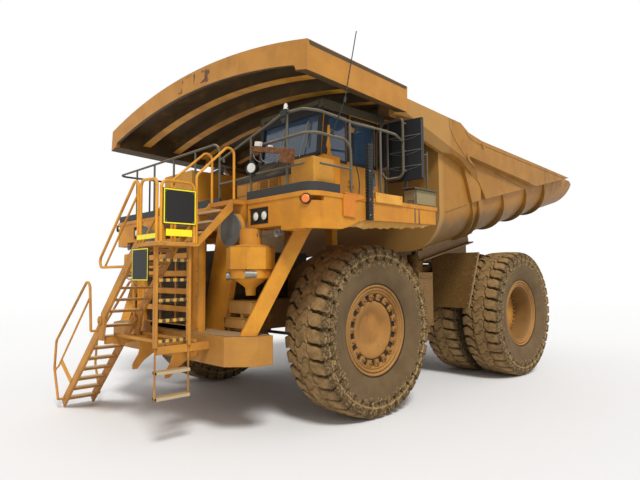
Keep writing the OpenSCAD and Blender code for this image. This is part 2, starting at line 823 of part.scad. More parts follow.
module bed_ribs() {
    color(dusty) {
        for (y = rib_y) difference() {
            along_joint(y, y + rib_t) rib_section();
            trough(seat, y - 1, y + rib_t + 1);
            block([-4000, -1000, joint_at(y) - 20], [4000, 7000, 9000]);
            block([shell_r - shell_half_w, -1000, 0], [shell_half_w - shell_r, 7000, 9000]);
        }
        both_sides() {
            // Side sheet above the joint line, and the box that carries the first two ribs up to the wing
            side_plate([[40, 4760], [640, 4380], [900, joint_at(900)], [5400, joint_at(5400) - 14],
                [4000, 5130], [570, 5270], [40, 5350]], shell_half_w + seat, sheet_x);
            side_plate([[0, 4760], [340, joint_at(340)], [rib_y[1] + rib_t, joint_at(rib_y[1] + rib_t)],
                [rib_y[1] + rib_t, 4500], [300, 4700]], shell_half_w + seat, sheet_x - 15);
            // Wing that narrows down to the joint line, and the top rail behind it
            difference() {
                side_plate([[canopy_face(5260), 5260], [-1900, 5245], [-1640, 5030], [-1391, 4962],
                    [-830, 4830], [-501, 4815], [-245, 4760], [-48, 4681], [230, 4575], [497, 4396],
                    [690, 4150], [770, 4190], [600, 4440], [340, 4640], [90, 4790], [60, 4845],
                    [2950, 4620], [3250, joint_at(3250)], [5400, joint_at(5400) - 14], [4000, 5130],
                    [570, 5270], [40, 5350], [-260, 5490], [-700, 5510], [canopy_face(5590), 5590]],
                    shell_half_w + seat, wing_x);
                slanting_cut([wing_x, -1574, 5169], [wing_x, -46, 4765], [sheet_x - 10, -1391, 4962]);
            }
            // Channel along the floor's outer corner
            along_joint(-760, 1300) difference() {
                polygon([[2180, -1000], [2330, -1000], [2330, -972], [2208, -972], [2208, -780],
                    [2330, -780], [2330, -700], [2180, -700]]);
                shell_section(seat);
            }
        }
    }
}

// A length of the canopy: arched roof, side beams of a given depth, ribs that end at the given
// distances, and a front beam of a given thickness
module canopy_part(half_w, side_h, from, to, rib_ends, beam_t) {
    deep = canopy_t + canopy_rib_h;
    for (end = rib_ends)
        arch(arch_r - deep + flange_t, arch_r - deep, half_w - side_beam_w + 1,
            end - canopy_rib_t - flange_out, min(end + flange_out, to));
    difference() {
        arch(arch_r, arch_r - side_h, half_w, from, to);
        // The space below the ribs, then the bays between them
        arch(arch_r - deep, arch_r - 2 * fascia_h, half_w - side_beam_w, from + beam_t, to + 1);
        for (i = [0 : len(rib_ends) - 1])
            arch(arch_r - canopy_t, arch_r - deep - 1, half_w - side_beam_w,
                i == 0 ? from + beam_t : rib_ends[i - 1], rib_ends[i] - canopy_rib_t);
    }
}

// The space below the front plate, with elliptical ends at the side beams
module front_cut() {
    x = canopy_half_w - side_beam_w;
    rim = arch_r - fascia_h + haunch_h;
    z = sqrt(rim * rim - x * x) - arch_r;
    difference() {
        arch(rim, arch_r - 2 * fascia_h, x, -1, fascia_t + 1);
        both_sides() difference() {
            block([x - haunch_w, -2, z - haunch_h], [x + 1, fascia_t + 2, z + haunch_h]);
            translate([x - haunch_w, -3, z - haunch_h]) rotate([-90, 0, 0])
                cylinder(r = haunch_w, h = fascia_t + 6);
        }
    }
}

module canopy() {
    color(dusty) {
        on_canopy() {
            difference() {
                canopy_part(canopy_half_w, fascia_h, 0, canopy_wide_len, [780, 1560, canopy_wide_len], fascia_t);
                front_cut();
            }
        }
        difference() {
            on_canopy() translate([0, 0, -canopy_drop])
                canopy_part(shell_half_w, fascia_h - 40, canopy_wide_len - 1, canopy_len, [3150, canopy_len], -1);
            block([-shell_half_w - 1, wall_front - seat, 5000],
                [shell_half_w + 1, wall_front + 500, wall_top + seat]);
        }
        // Head plate that stands on the body's front wall
        intersection() {
            on_canopy() translate([0, 0, -canopy_drop])
                arch(arch_r - 1, arch_r - 3 * fascia_h, shell_half_w - 1, canopy_len - 300, canopy_len + 100);
            block([-shell_half_w, wall_front, wall_top + seat],
                [shell_half_w, wall_front + shell_t, canopy_top]);
        }
    }
}

module bed_bolsters() {
    y0 = -650;
    function under(y) = joint_z - shell_r / cos(floor_slope) + y * tan(floor_slope) - seat;
    color(dusty) both_sides() {
        side_plate([[y0, 2150], [y0, under(y0)], [4350, under(4350)], [4350, 2250], [4100, 2100],
            [3900, 2250], [3800, rear_rail_top + 60], [1900, rear_rail_top + 60], [200, 2160]],
            210, 480);
        // Pin that turns in the frame rail
        translate([479, bed_pivot[0], bed_pivot[1]]) rotate([0, 90, 0])
            cylinder(r = 90, h = frame_half_w - 479);
    }
}

// Hoist cylinders. Each rides between its pin on the frame and its ears below the body.

hoist_len = norm(hoist_high - hoist_low);
hoist_lean = atan2(hoist_high[0] - hoist_low[0], hoist_high[1] - hoist_low[1]);

module on_hoist() {
    both_sides() translate([hoist_x, hoist_low[0], hoist_low[1]]) rotate([-hoist_lean, 0, 0])
        children();
}

module hoist_barrels() {
    color(dusty) on_hoist() difference() {
        union() {
            rotate([0, 90, 0]) cylinder(r = 130, h = 160, center = true);
            cylinder(r = 180, h = 1650);
        }
        rotate([0, 90, 0]) cylinder(r = 70 + seat, h = 400, center = true);
        translate([0, 0, 150]) cylinder(r = 140 + seat, h = 1600);
    }
}

module hoist_middles() {
    color(steel) on_hoist() difference() {
        translate([0, 0, 150 + seat]) cylinder(r = 140, h = 1510);
        translate([0, 0, 200]) cylinder(r = 100 + seat, h = 1600);
    }
}

module hoist_rods() {
    color(steel) on_hoist() {
        translate([0, 0, 200 + seat]) cylinder(r = 100, h = hoist_len - 300);
        translate([0, 0, hoist_len]) rotate([0, 90, 0]) difference() {
            cylinder(r = 120, h = 160, center = true);
            cylinder(r = 70, h = 170, center = true);
        }
    }
}

// Front axle

module knuckle(s) {
    color(dusty) translate([s * kingpin_x, front_y, 0]) {
        translate([0, 0, knuckle_low]) cylinder(r = 170, h = knuckle_top - knuckle_low);
        translate([0, 0, axle_z]) rotate([0, s * 90, 0]) cylinder(r = 150, h = 760);
        block([-80, 0, tie_z + 40 + seat], [80, arm_back, tie_z + 120]);
        translate([0, arm_back, tie_z + 40 + seat]) cylinder(r = 80, h = 80 - seat);
    }
}

module knuckle_left() { knuckle(1); }
module knuckle_right() { knuckle(-1); }

module tie_rod() {
    color(steel) {
        for (s = [-1, 1]) translate([s * kingpin_x, front_y + arm_back, tie_z - 40])
            cylinder(r = 80, h = 80);
        bar([-kingpin_x, front_y + arm_back, tie_z], [kingpin_x, front_y + arm_back, tie_z], 70);
    }
}

// Wheels

flange_r = rim_r + 127;

module tyre() {
    carcass = tyre_r - lug_h;
    half = tyre_w / 2;
    color(rubber) {
        turned_x([[rim_r + seat, -290], [flange_r, -290], [flange_r + seat, -331], [1000, -half + 20], [1200, -half + 10],
            [carcass - 60, -half + 40], [carcass, -half + 120], [carcass, half - 120],
            [carcass - 60, half - 40], [1200, half - 10], [1000, half - 20],
            [flange_r + seat, 331], [flange_r, 290], [rim_r + seat, 290]]);
        for (s = [0, 1], i = [0 : lug_count - 1])
            rotate([(i + s / 2) * 360 / lug_count, 0, 0]) mirror([s, 0, 0])
                face_plate([[60, carcass - 40], [60, lug_flat], [half - 90, lug_flat],
                    [half, carcass - 60], [half, carcass - 160]], -lug_half, lug_half);
    }
}

// A rim with its web. The face points run from the outer flange in to the bore, as [radius, x].
module rim(bore, face) {
    color(dusty) turned_x(concat([[bore, -200], [420, -200], [rim_r - 40, -260], [rim_r - 40, -330],
        [flange_r - seat, -330], [flange_r - seat, -290 - seat], [rim_r, -290 - seat],
        [rim_r, 290 + seat], [flange_r - seat, 290 + seat], [flange_r - seat, 335], [flange_r - 25, 335],
        [flange_r - 38, 315], [flange_r - 58, 315], [flange_r - 70, 330], [flange_r - 90, 326],
        [flange_r - 100, 300], [flange_r - 120, 306], [flange_r - 135, 306]], face));
}

module at_front(s) { translate([s * front_track, front_y, axle_z]) mirror([s > 0 ? 0 : 1, 0, 0]) children(); }

clamp_count = 18;

module front_rim() {
    rim(150 + seat, [[rim_r - 14, 262], [rim_r - 22, 240], [502, 240], [490, 120], [150 + seat, 120]]);
    color(dusty) {
        // Dished cover over the hub
        turned_x([[0, 80], [0, 165], [262, 165], [320, 200], [380, 232], [440, 256], [478, 262],
            [494, 256], [503, 239], [503, 119], [400, 80]]);
        // Wedge clamps that hold the rim
        for (i = [0 : clamp_count - 1]) rotate([i * 360 / clamp_count, 0, 0])
            block([230, -46, 515], [285, 46, rim_r - 22]);
    }
}

module front_tyre_left() { at_front(1) tyre(); }
module front_rim_left() { at_front(1) front_rim(); }
module front_tyre_right() { at_front(-1) tyre(); }
module front_rim_right() { at_front(-1) front_rim(); }

module at_rear(s) { translate([s * rear_track, rear_y, axle_z]) mirror([s > 0 ? 0 : 1, 0, 0]) children(); }

module rear_tyres() {
    tyre();
    translate([-twin_gap, 0, 0]) tyre();
}

module rear_rims() {
    well = [[rim_r - 22, 270], [rim_r - 42, 200], [rim_r - 54, -110], [rim_r - 62, -150], [260 + seat, -150]];
    rim(260 + seat, well);
    translate([-twin_gap, 0, 0]) rim(260 + seat, well);
    color(dusty) {
        turned_x([[260 + seat, -twin_gap + 100], [420, -twin_gap + 100], [420, -190],
            [260 + seat, -190]]);
        // Cover of the wheel motor, deep in the rim
        turned_x([[0, -190], [0, -86], [440, -96], [462, -100], [470, -116], [545, -118], [556, -130],
            [556, -151], [400, -190]]);
    }
}

module rear_tyres_left() { at_rear(1) rear_tyres(); }
module rear_rims_left() { at_rear(1) rear_rims(); }
module rear_tyres_right() { at_rear(-1) rear_tyres(); }
module rear_rims_right() { at_rear(-1) rear_rims(); }

frame();
front_bumper();
grille();
radiator();
engine();
drive_line();
front_suspension();
rear_axle();
fuel_tank();
hydraulic_tank();
deck();
deck_struts();
deck_rails();
access_stair();
stair_rails();
number_boards();
air_cleaners();
lamps();
cab_shell();
cab_glass();
cab_interior();
cab_lockers();
mirrors();
mast();
rock_guards();
bed_shell();
bed_ribs();
canopy();
bed_bolsters();
hoist_barrels();
hoist_middles();
hoist_rods();
knuckle_left();
knuckle_right();
tie_rod();
front_tyre_left();
front_rim_left();
front_tyre_right();
front_rim_right();
rear_tyres_left();
rear_rims_left();
rear_tyres_right();
rear_rims_right();
door_left();
door_glass_left();
door_right();
door_glass_right();
lower_stair();
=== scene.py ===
"""Looks of the mining dump truck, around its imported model. Metres, X to its left, Y to its tail, Z up."""

import math

import bmesh
import bpy
import numpy as np
from mathutils import Matrix, Vector


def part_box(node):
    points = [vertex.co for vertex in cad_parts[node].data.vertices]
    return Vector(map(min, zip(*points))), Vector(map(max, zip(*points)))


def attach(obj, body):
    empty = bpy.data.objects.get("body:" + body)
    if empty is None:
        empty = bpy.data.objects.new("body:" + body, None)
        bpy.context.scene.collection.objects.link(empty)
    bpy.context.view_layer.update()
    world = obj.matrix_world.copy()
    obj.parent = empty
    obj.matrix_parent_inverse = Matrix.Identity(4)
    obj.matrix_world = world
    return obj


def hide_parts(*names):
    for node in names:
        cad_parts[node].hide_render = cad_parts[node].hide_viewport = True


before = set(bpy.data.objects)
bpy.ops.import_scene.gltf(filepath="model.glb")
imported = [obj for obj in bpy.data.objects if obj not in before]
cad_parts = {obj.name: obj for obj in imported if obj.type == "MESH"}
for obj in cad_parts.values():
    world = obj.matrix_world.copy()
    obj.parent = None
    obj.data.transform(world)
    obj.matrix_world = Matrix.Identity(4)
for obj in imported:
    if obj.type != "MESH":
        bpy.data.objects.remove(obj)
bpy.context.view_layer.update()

# Camera: it stands low off the truck's left front corner, at about a tall person's head height. Its place,
# turn and lens come from the wheels, the canopy's corners and the stair as the photograph shows them.

camera_at = (8.530, -9.579, 2.452)
camera_yaw, camera_pitch, camera_roll = 45.643, 3.788, -0.461
camera_lens, camera_reach = 29.40, 400
turn = (
    Matrix.Rotation(math.radians(camera_yaw), 4, "Z")
    @ Matrix.Rotation(math.radians(90 + camera_pitch), 4, "X")
    @ Matrix.Rotation(math.radians(camera_roll), 4, "Z")
)
camera_data = bpy.data.cameras.new("camera")
camera_data.lens = camera_lens
camera_data.clip_end = camera_reach
camera = bpy.data.objects.new("camera", camera_data)
camera.matrix_world = Matrix.Translation(camera_at) @ turn
bpy.context.scene.collection.objects.link(camera)
bpy.context.scene.camera = camera
bpy.context.scene.view_settings.view_transform = "Standard"

# Floor and light: a pale even floor that runs out into white, and one wide soft sun high on the truck's
# left front side with an even sky. The camera, gloss and glass see the far floor and the sky as white, and
# the light that both cast on the truck keeps its own level.


class Value:
    """A number, colour or vector in a tree of nodes. Python's operators on it add Math nodes."""

    def __init__(self, nodes, socket):
        self.nodes = nodes
        self.socket = socket

    def math(self, operation, *values):
        return self.nodes.node("ShaderNodeMath", {"operation": operation}, dict(enumerate(values)))

    def __add__(self, other):
        return self.math("ADD", self, other)

    def __sub__(self, other):
        return self.math("SUBTRACT", self, other)

    def __rsub__(self, other):
        return self.math("SUBTRACT", other, self)

    def __mul__(self, other):
        return self.math("MULTIPLY", self, other)

    __radd__ = __add__
    __rmul__ = __mul__

    def most(self, other):
        return self.math("MAXIMUM", self, other)

    def least(self, other):
        return self.math("MINIMUM", self, other)

    def rise(self, low, high):
        """Runs smoothly from 0 where the value is low to 1 where it is high."""
        limits = {"Value": self, "From Min": low, "From Max": high}
        return self.nodes.node("ShaderNodeMapRange", {"interpolation_type": "SMOOTHSTEP"}, limits)


class Nodes:
    """A tree of nodes. Its node method adds any node and gives back one of its outputs."""

    def __init__(self, tree):
        self.tree = tree

    def node(self, kind, settings=None, sockets=None, out=0):
        made = self.tree.nodes.new(kind)
        for key, value in (settings or {}).items():
            setattr(made, key, value)
        for key, value in (sockets or {}).items():
            self.feed(made.inputs[key], value)
        outputs = [o for o in made.outputs if o.enabled]
        return Value(self, made.outputs[out] if isinstance(out, str) else outputs[out])

    def feed(self, socket, value):
        if isinstance(value, Value):
            self.tree.links.new(value.socket, socket)
        else:
            socket.default_value = value

    def vector(self, operation, a, b=(0, 0, 0), out=0):
        return self.node("ShaderNodeVectorMath", {"operation": operation}, {0: a, 1: b}, out)

    def see_white(self, lit, white, end, share=1):
        """Ends the tree in the lit shader, and shows the white one to the camera, to gloss and to glass."""
        seen = self.node("ShaderNodeLightPath", out="Is Camera Ray")
        for ray in ("Glossy", "Transmission"):
            seen = seen.most(self.node("ShaderNodeLightPath", out=f"Is {ray} Ray"))
        white_light = self.node(white, {}, {"Color": (1, 1, 1, 1), "Strength": 1})
        ends = {0: seen * share, 1: Value(self, lit.outputs[0]), 2: white_light}
        self.feed(self.tree.nodes[end].inputs[0], self.node("ShaderNodeMixShader", {}, ends))


class Finish(Nodes):
    """A material: a principled shader, whose sockets take numbers, colours and Values."""

    def __init__(self, name, **sockets):
        self.material = bpy.data.materials.new(name)
        self.material.use_nodes = True
        super().__init__(self.material.node_tree)
        self.shader = self.tree.nodes["Principled BSDF"]
        self.set(**sockets)

    def set(self, **sockets):
        for socket, value in sockets.items():
            self.feed(self.shader.inputs[socket.replace("_", " ")], value)

    def place(self):
        return self.node("ShaderNodeTexCoord", out="Object")

    def axis(self, vector, name):
        """One of a vector's three numbers."""
        return self.node("ShaderNodeSeparateXYZ", {}, {0: vector}, out=name)

    def up(self):
        """How far a face looks up, from -1 to 1."""
        return self.axis(self.node("ShaderNodeTexCoord", out="Normal"), "Z")

    def from_axle(self, where):
        """Distance from a wheel's axle, which is its own X axis."""
        return self.vector("LENGTH", self.vector("MULTIPLY", where, (0, 1, 1)), out="Value")

    def noise(self, where, scale, detail=3.0, rough=0.55, stretch=None):
        if stretch:
            where = self.vector("MULTIPLY", where, stretch)
        sockets = {"Vector": where, "Scale": scale, "Detail": detail, "Roughness": rough}
        return self.node("ShaderNodeTexNoise", {}, sockets)

    def mix(self, share, a, b):
        """Colour a where share is 0 and colour b where it is 1."""
        mixed = self.tree.nodes.new("ShaderNodeMix")
        mixed.data_type = "RGBA"
        colour_inputs = [i for i in mixed.inputs if i.type == "RGBA"]
        self.feed(mixed.inputs[0], share)
        self.feed(colour_inputs[0], a)
        self.feed(colour_inputs[1], b)
        return Value(self, [o for o in mixed.outputs if o.type == "RGBA"][0])

    def bump(self, height, strength, depth, edge=None):
        sockets = {"Height": height, "Strength": strength, "Distance": depth}
        if edge is not None:
            sockets["Normal"] = edge
        self.set(Normal=self.node("ShaderNodeBump", {}, sockets))


def tone(*levels):
    """A colour given as 0 to 255, as Blender's shaders take it."""
    shares = [level / 255 for level in levels]
    return (*(c / 12.92 if c <= 0.04045 else ((c + 0.055) / 1.055) ** 2.4 for c in shares), 1)


floor_half, floor_tone, white_from, white_to = 150, 0.80, 16, 45
floor_colour = (floor_tone * 0.97, floor_tone, floor_tone * 1.06, 1)
floor_finish = Finish("studio_floor", Base_Color=floor_colour, Roughness=0.9)
floor_far = floor_finish.vector("LENGTH", floor_finish.place(), out="Value")
floor_white = floor_far.rise(white_from, white_to)
floor_finish.see_white(floor_finish.shader, "ShaderNodeEmission", "Material Output", floor_white)
floor_mesh = bpy.data.meshes.new("studio_floor")
corners = [(x * floor_half, y * floor_half, 0) for x, y in ((-1, -1), (1, -1), (1, 1), (-1, 1))]
floor_mesh.from_pydata(corners, [], [(0, 1, 2, 3)])
floor_mesh.materials.append(floor_finish.material)
floor = bpy.data.objects.new("studio_floor", floor_mesh)
bpy.context.scene.collection.objects.link(floor)

sky_colour, sky_strength = (1.0, 0.965, 0.91, 1), 0.62
sun_colour, sun_strength, sun_spread = (1.0, 0.965, 0.90), 2.5, 14
sun_azimuth, sun_height = math.radians(62), math.radians(52)
world = bpy.data.worlds.new("studio")
bpy.context.scene.world = world
world.use_nodes = True
sky = Nodes(world.node_tree)
sky_light = world.node_tree.nodes["Background"]
sky.feed(sky_light.inputs["Color"], sky_colour)
sky.feed(sky_light.inputs["Strength"], sky_strength)
sky.see_white(sky_light, "ShaderNodeBackground", "World Output")
sun_data = bpy.data.lights.new("sun", "SUN")
sun_data.energy = sun_strength
sun_data.angle = math.radians(sun_spread)
sun_data.color = sun_colour
sun = bpy.data.objects.new("sun", sun_data)
sun_out = math.cos(sun_height)
sun_from = Vector((math.sin(sun_azimuth) * sun_out, -math.cos(sun_azimuth) * sun_out, math.sin(sun_height)))
sun.rotation_euler = sun_from.to_track_quat("Z", "Y").to_euler()
bpy.context.scene.collection.objects.link(sun)

# Chassis: box-section frame rails, axles and suspension, all of them welded and cast steel under a thick
# coat of dried mud and dust. Rods that slide stay bright.

PAINT = tone(212, 146, 38)
PAINT_SHADE = tone(194, 126, 32)
DUST = tone(174, 130, 68)
DARK_DUST = tone(158, 116, 60)
MUD = tone(122, 92, 50)
DARK_MUD = tone(100, 74, 40)
STAIN = tone(70, 50, 32)
RUST = tone(118, 66, 34)


def dusty_paint(name, paint, shade, dust=0.5, mud=0.0, stain=0.35, chips=0.3, over=None):
    """Painted steel: nearly even paint under a film of dust that lies thickest on top faces, with faint runs
    and chipped edges. Mud cakes it in patches, and over lays a piece's own dirt, painted shade and light on
    it."""
    f = Finish(name, Specular_IOR_Level=0.3)
    where = f.place()
    face = f.up()
    broad = f.noise(where, 0.55, 3, 0.55)
    patch = f.noise(where, 2.6, 5, 0.6)
    fine = f.noise(where, 30, 4, 0.62)
    runs = f.noise(where, 1.0, 4, 0.6, (10, 10, 0.5))
    # The normal of a rounded edge turns away from the face's own, which finds the edges that wear
    edge = f.node("ShaderNodeBevel", {"samples": 4}, {"Radius": 0.014})
    flat = f.node("ShaderNodeNewGeometry", out="Normal")
    rim = (1 - f.vector("DOT_PRODUCT", edge, flat, "Value")).rise(0.01, 0.16)
    colour = f.mix((patch * 0.6 + broad * 0.4).rise(0.38, 0.62), paint, shade)
    film = (broad * 0.5 + patch * 0.35 + fine * 0.15 + face.rise(-0.1, 0.9) * 0.3).rise(0.30, 0.98)
    settled = (film * (0.35 + dust)).least(0.92)
    colour = f.mix(settled, colour, f.mix(fine.rise(0.35, 0.7), DUST, DARK_DUST))
    lumps = fine * 0.5
    if mud:
        caked = (broad * 0.4 + patch * 0.6 + fine * 0.12).rise(0.60 - mud * 0.25, 0.70 - mud * 0.25)
        colour = f.mix(caked * 0.88, colour, f.mix(fine.rise(0.4, 0.65), MUD, DARK_MUD))
        lumps = fine * (0.5 + caked)
    streak = (runs * 0.8 + patch * 0.25).rise(0.60, 0.80) * (1 - face.rise(0.3, 0.8)) * stain
    colour = f.mix(streak, colour, STAIN)
    if over:
        colour = over(f, where, face, patch, colour)
    worn = (rim * 0.55 + fine * 0.5 + patch * 0.45).rise(1.02 - chips * 0.3, 1.14 - chips * 0.3)
    colour = f.mix(worn * 0.75, colour, RUST)
    f.set(Base_Color=colour, Roughness=(settled * 0.3 + fine * 0.15 + 0.4).least(0.95))
    f.bump(lumps + patch, 0.25, 0.005, edge)
    return f


def plain_paint(name, colour, dusty, dust=0.5, rough=0.6, metal=0.0):
    """A dark or plain coat with dust lying on it and in its corners."""
    f = Finish(name, Metallic=metal, Specular_IOR_Level=0.4)
    where = f.place()
    face = f.up()
    patch = f.noise(where, 4, 5, 0.6)
    fine = f.noise(where, 48, 3, 0.6)
    dust_low, dust_high = 0.98 - dust * 0.6, 1.15 - dust * 0.6
    settled = (patch * 0.8 + fine * 0.3 + face.rise(-0.1, 0.9) * 0.35).rise(dust_low, dust_high)
    darker = (*(level * 0.7 for level in colour[:3]), 1)
    f.set(
        Base_Color=f.mix(settled * 0.85, f.mix(fine, colour, darker), dusty),
        Roughness=settled * 0.35 + (rough + fine * 0.1),
    )
    f.bump(fine + patch * 0.5, 0.3, 0.004)
    return f


def dress(finish, *nodes):
    """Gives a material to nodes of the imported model."""
    for name in nodes:
        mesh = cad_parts[name].data
        mesh.materials.clear()
        mesh.materials.append(finish.material)


chassis_paint = dusty_paint("chassis_paint", PAINT_SHADE, tone(140, 92, 40), dust=0.75, mud=0.75, stain=0.5)
cast_steel = plain_paint("cast_steel", tone(58, 50, 40), MUD, dust=0.7, rough=0.7)
rod_steel = plain_paint("rod_steel", tone(150, 148, 142), DUST, dust=0.15, rough=0.25, metal=0.9)
dress(chassis_paint, "frame", "front_suspension", "rear_axle", "knuckle_left", "knuckle_right",
      "bed_bolsters", "hoist_barrels", "fuel_tank")
dress(cast_steel, "engine", "drive_line", "radiator")
dress(rod_steel, "hoist_middles", "hoist_rods", "tie_rod")

# Tyres: six bias tyres, steel-banded rubber with deep shoulder blocks, narrow grooves in the middle and
# dried mud on the shoulders. Each is one grid of the tyre's cross-section, sunk where a groove runs.

tyre_r = 1.49
pitches, steps_a_pitch = 36, 18
around = pitches * steps_a_pitch
tyre_profile = [
    (0.300, 0.700), (0.318, 0.745), (0.322, 0.776), (0.345, 0.800), (0.372, 0.850), (0.402, 0.915),
    (0.424, 0.985), (0.438, 1.060), (0.445, 1.130), (0.446, 1.185), (0.441, 1.225), (0.437, 1.250),
    (0.440, 1.272), (0.449, 1.290), (0.455, 1.312), (0.456, 1.340), (0.454, 1.366), (0.448, 1.392),
    (0.438, 1.414), (0.424, 1.434), (0.406, 1.450), (0.386, 1.461), (0.364, 1.468), (0.340, 1.4725),
    (0.315, 1.4755), (0.290, 1.478), (0.265, 1.480), (0.240, 1.4815), (0.218, 1.4828), (0.196, 1.484),
    (0.176, 1.485), (0.158, 1.4858), (0.146, 1.4863), (0.134, 1.4868), (0.122, 1.4872), (0.108, 1.4876),
    (0.090, 1.488), (0.068, 1.4884), (0.044, 1.4887), (0.020, 1.489),
]
# Depths of the shoulder grooves, their floor, the zigzag grooves and the short cuts, and half the widths
# of the last two
shoulder_deep, floor_deep, zigzag_deep, cut_deep = 0.072, 0.025, 0.045, 0.035
zigzag_wide, cut_wide, groove_slope = (0.007, 0.014), (0.006, 0.014), 0.012
lump_high = 0.004


def slope(x, low, high):
    """Smooth step of an array from 0 at low to 1 at high."""
    t = np.clip((x - low) / (high - low), 0, 1)
    return t * t * (3 - 2 * t)


def build_tyre():
    half = np.array(tyre_profile)
    rows = np.vstack([half, half[::-1] * (-1, 1)])
    across, radius = rows[:, 0], rows[:, 1]
    angle = np.arange(around) / around * 2 * math.pi
    u, a = np.meshgrid(across, angle, indexing="ij")
    r = np.repeat(radius[:, None], around, 1)
    side = np.abs(u)
    turns = a * pitches / (2 * math.pi)
    pitch_length = 2 * math.pi * tyre_r / pitches
    # Way from the middle of the tread out over the shoulder
    steps = np.hypot(np.diff(across), np.diff(radius))
    run = np.concatenate([[0], np.cumsum(steps)])
    middle = run[-1] / 2
    out = np.repeat(np.abs(run - middle)[:, None], around, 1)
    half_turn = np.where(u > 0, 0.0, 0.5)
    # Shoulder grooves, which hook forward at their inner ends
    hook = 0.30 * (1 - slope(side, 0.13, 0.33)) ** 2
    wave = 0.05 * np.sin(side * 26)
    phase = (turns + half_turn + hook * np.sign(u) + wave) % 1
    gap = np.abs(phase - 0.5) * pitch_length
    wide = 0.016 + 0.012 * slope(out, 0.25, 0.52)
    shoulder = (1 - slope(gap, wide, wide + groove_slope)) * slope(side, 0.125, 0.15)
    block_end = 1 - slope(out, 0.640, 0.668)
    depth = shoulder_deep * shoulder * block_end * slope(side, 0.12, 0.20) + floor_deep * shoulder * block_end
    # Narrow zigzag grooves that set off the middle row of blocks, and the short cuts between its blocks
    zigzag = 0.138 + 0.014 * np.sign(np.sin(a * pitches + np.where(u > 0, 0.0, math.pi)))
    narrow = (1 - slope(np.abs(side - zigzag), *zigzag_wide)) * zigzag_deep
    middle_gap = np.abs((turns + 0.22 * np.sin(u * 22)) % 1 - 0.5) * pitch_length
    cross = (1 - slope(middle_gap, *cut_wide)) * (side < zigzag) * cut_deep
    depth = np.maximum(depth, np.maximum(narrow, cross))
    # Chipped blocks and lumps of dried mud
    rough = np.sin(a * 83 + u * 40) * np.sin(a * 47 - u * 71) * np.sin(u * 29 + a * 19)
    depth = depth + lump_high * rough * slope(out, 0.2, 0.5) * (out < 0.66)
    # Ends of the blocks stand proud of the sidewall
    r = r - depth * np.where(out < 0.52, 1.0, 1 - slope(out, 0.46, 0.56) * 0.75)
    u = u - np.sign(u) * depth * slope(out, 0.46, 0.56) * 0.9
    points = np.stack([u, r * np.cos(a), r * np.sin(a)], -1).reshape(-1, 3)
    last = len(across) - 1
    bands = [(i * around, (i + 1) * around) for i in range(last)] + [(last * around, 0)]
    faces = []
    for here, on in bands:
        for k in range(around):
            n = (k + 1) % around
            faces.append((here + k, here + n, on + n, on + k))
    mesh = bpy.data.meshes.new("tyre")
    mesh.from_pydata(points.tolist(), [], faces)
    mesh.update()
    mesh.polygons.foreach_set("use_smooth", [True] * len(mesh.polygons))
    mesh.set_sharp_from_angle(angle=math.radians(40))
    return mesh


def tyre_finish():
    """Dusty rubber, with pale dried mud on the shoulders and in the grooves. The tread is paler, with dust
    and painted light, and painted shade darkens the groove floors and the gap at the bead.
    """
    f = Finish("tyre_rubber", Specular_IOR_Level=0.3)
    where = f.place()
    radius = f.from_axle(where)
    broad = f.noise(where, 2.2, 4, 0.6)
    patch = f.noise(where, 9, 6, 0.65)
    fine = f.noise(where, 60, 4, 0.6)
    grain = f.noise(where, 24, 7, 0.7)
    rubber = f.mix(broad.rise(0.3, 0.7), tone(108, 88, 61), tone(92, 74, 51))
    film = f.mix(patch.rise(0.35, 0.65), tone(164, 132, 86), tone(126, 100, 64))
    # The tread is paler than the sidewall: dust, and painted light for light thrown up from the ground
    colour = f.mix(radius.rise(1.38, 1.44) * 0.85, rubber, film)
    # Clods of mud that spread from the sidewall's middle out to the shoulder
    shoulder = (radius + (broad - 0.5) * 0.5).rise(0.96, 1.26) * (1 - radius.rise(1.43, 1.46))
    spread = (shoulder * 0.55 + grain).rise(0.84, 1.0)
    clods = grain.rise(0.46, 0.58)
    dry_mud = f.mix(fine.rise(0.35, 0.65), tone(176, 146, 98), tone(134, 108, 70))
    colour = f.mix(spread * 0.85, colour, f.mix(clods, tone(76, 61, 41), dry_mud))
    # A pale ridge below the shoulder, painted shade on the groove floors and painted shadow in the gap at the
    # bead
    ridge = radius.rise(1.268, 1.282) * (1 - radius.rise(1.294, 1.308)) * (0.2 + patch * 0.8)
    colour = f.mix(ridge, colour, tone(178, 148, 100))
    groove_shade = (1 - radius.rise(1.440, 1.474)) * radius.rise(1.38, 1.42)
    colour = f.mix(groove_shade * 0.45, colour, tone(62, 50, 34))
    colour = f.mix((1 - radius.rise(0.796, 0.816)) * 0.9, colour, tone(26, 22, 16))
    f.set(Base_Color=colour, Roughness=0.86 + fine * 0.1)
    f.bump(patch * 0.5 + fine * 0.4 + clods * spread * 0.8, 0.7, 0.014)
    return f


def place_piece(name, mesh, matrix, body, replaces=()):
    """Puts a mesh into the scene as a piece of one body."""
    piece = bpy.data.objects.new(name, mesh)
    bpy.context.scene.collection.objects.link(piece)
    piece.matrix_world = matrix
    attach(piece, body)
    if replaces:
        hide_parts(*replaces)
    return piece


def stand(x, y, z, degrees=0, axis="Z"):
    """A place at a point, turned about one axis."""
    return Matrix.Translation((x, y, z)) @ Matrix.Rotation(math.radians(degrees), 4, axis)


lug_half = 0.12
axle_z = math.sqrt(tyre_r**2 - lug_half**2)
front_y, rear_y = -2.5, 2.85
front_track, rear_track, twin_gap = 2.34, 2.45, 1.08
tyre_mesh = build_tyre()
tyre_mesh.materials.append(tyre_finish().material)


def wheel_place(x, y, s, spin=0.0):
    """Where a wheel stands: its own X axis points away from the truck."""
    return stand(s * x, y, axle_z, 0 if s > 0 else 180) @ Matrix.Rotation(spin, 4, "X")


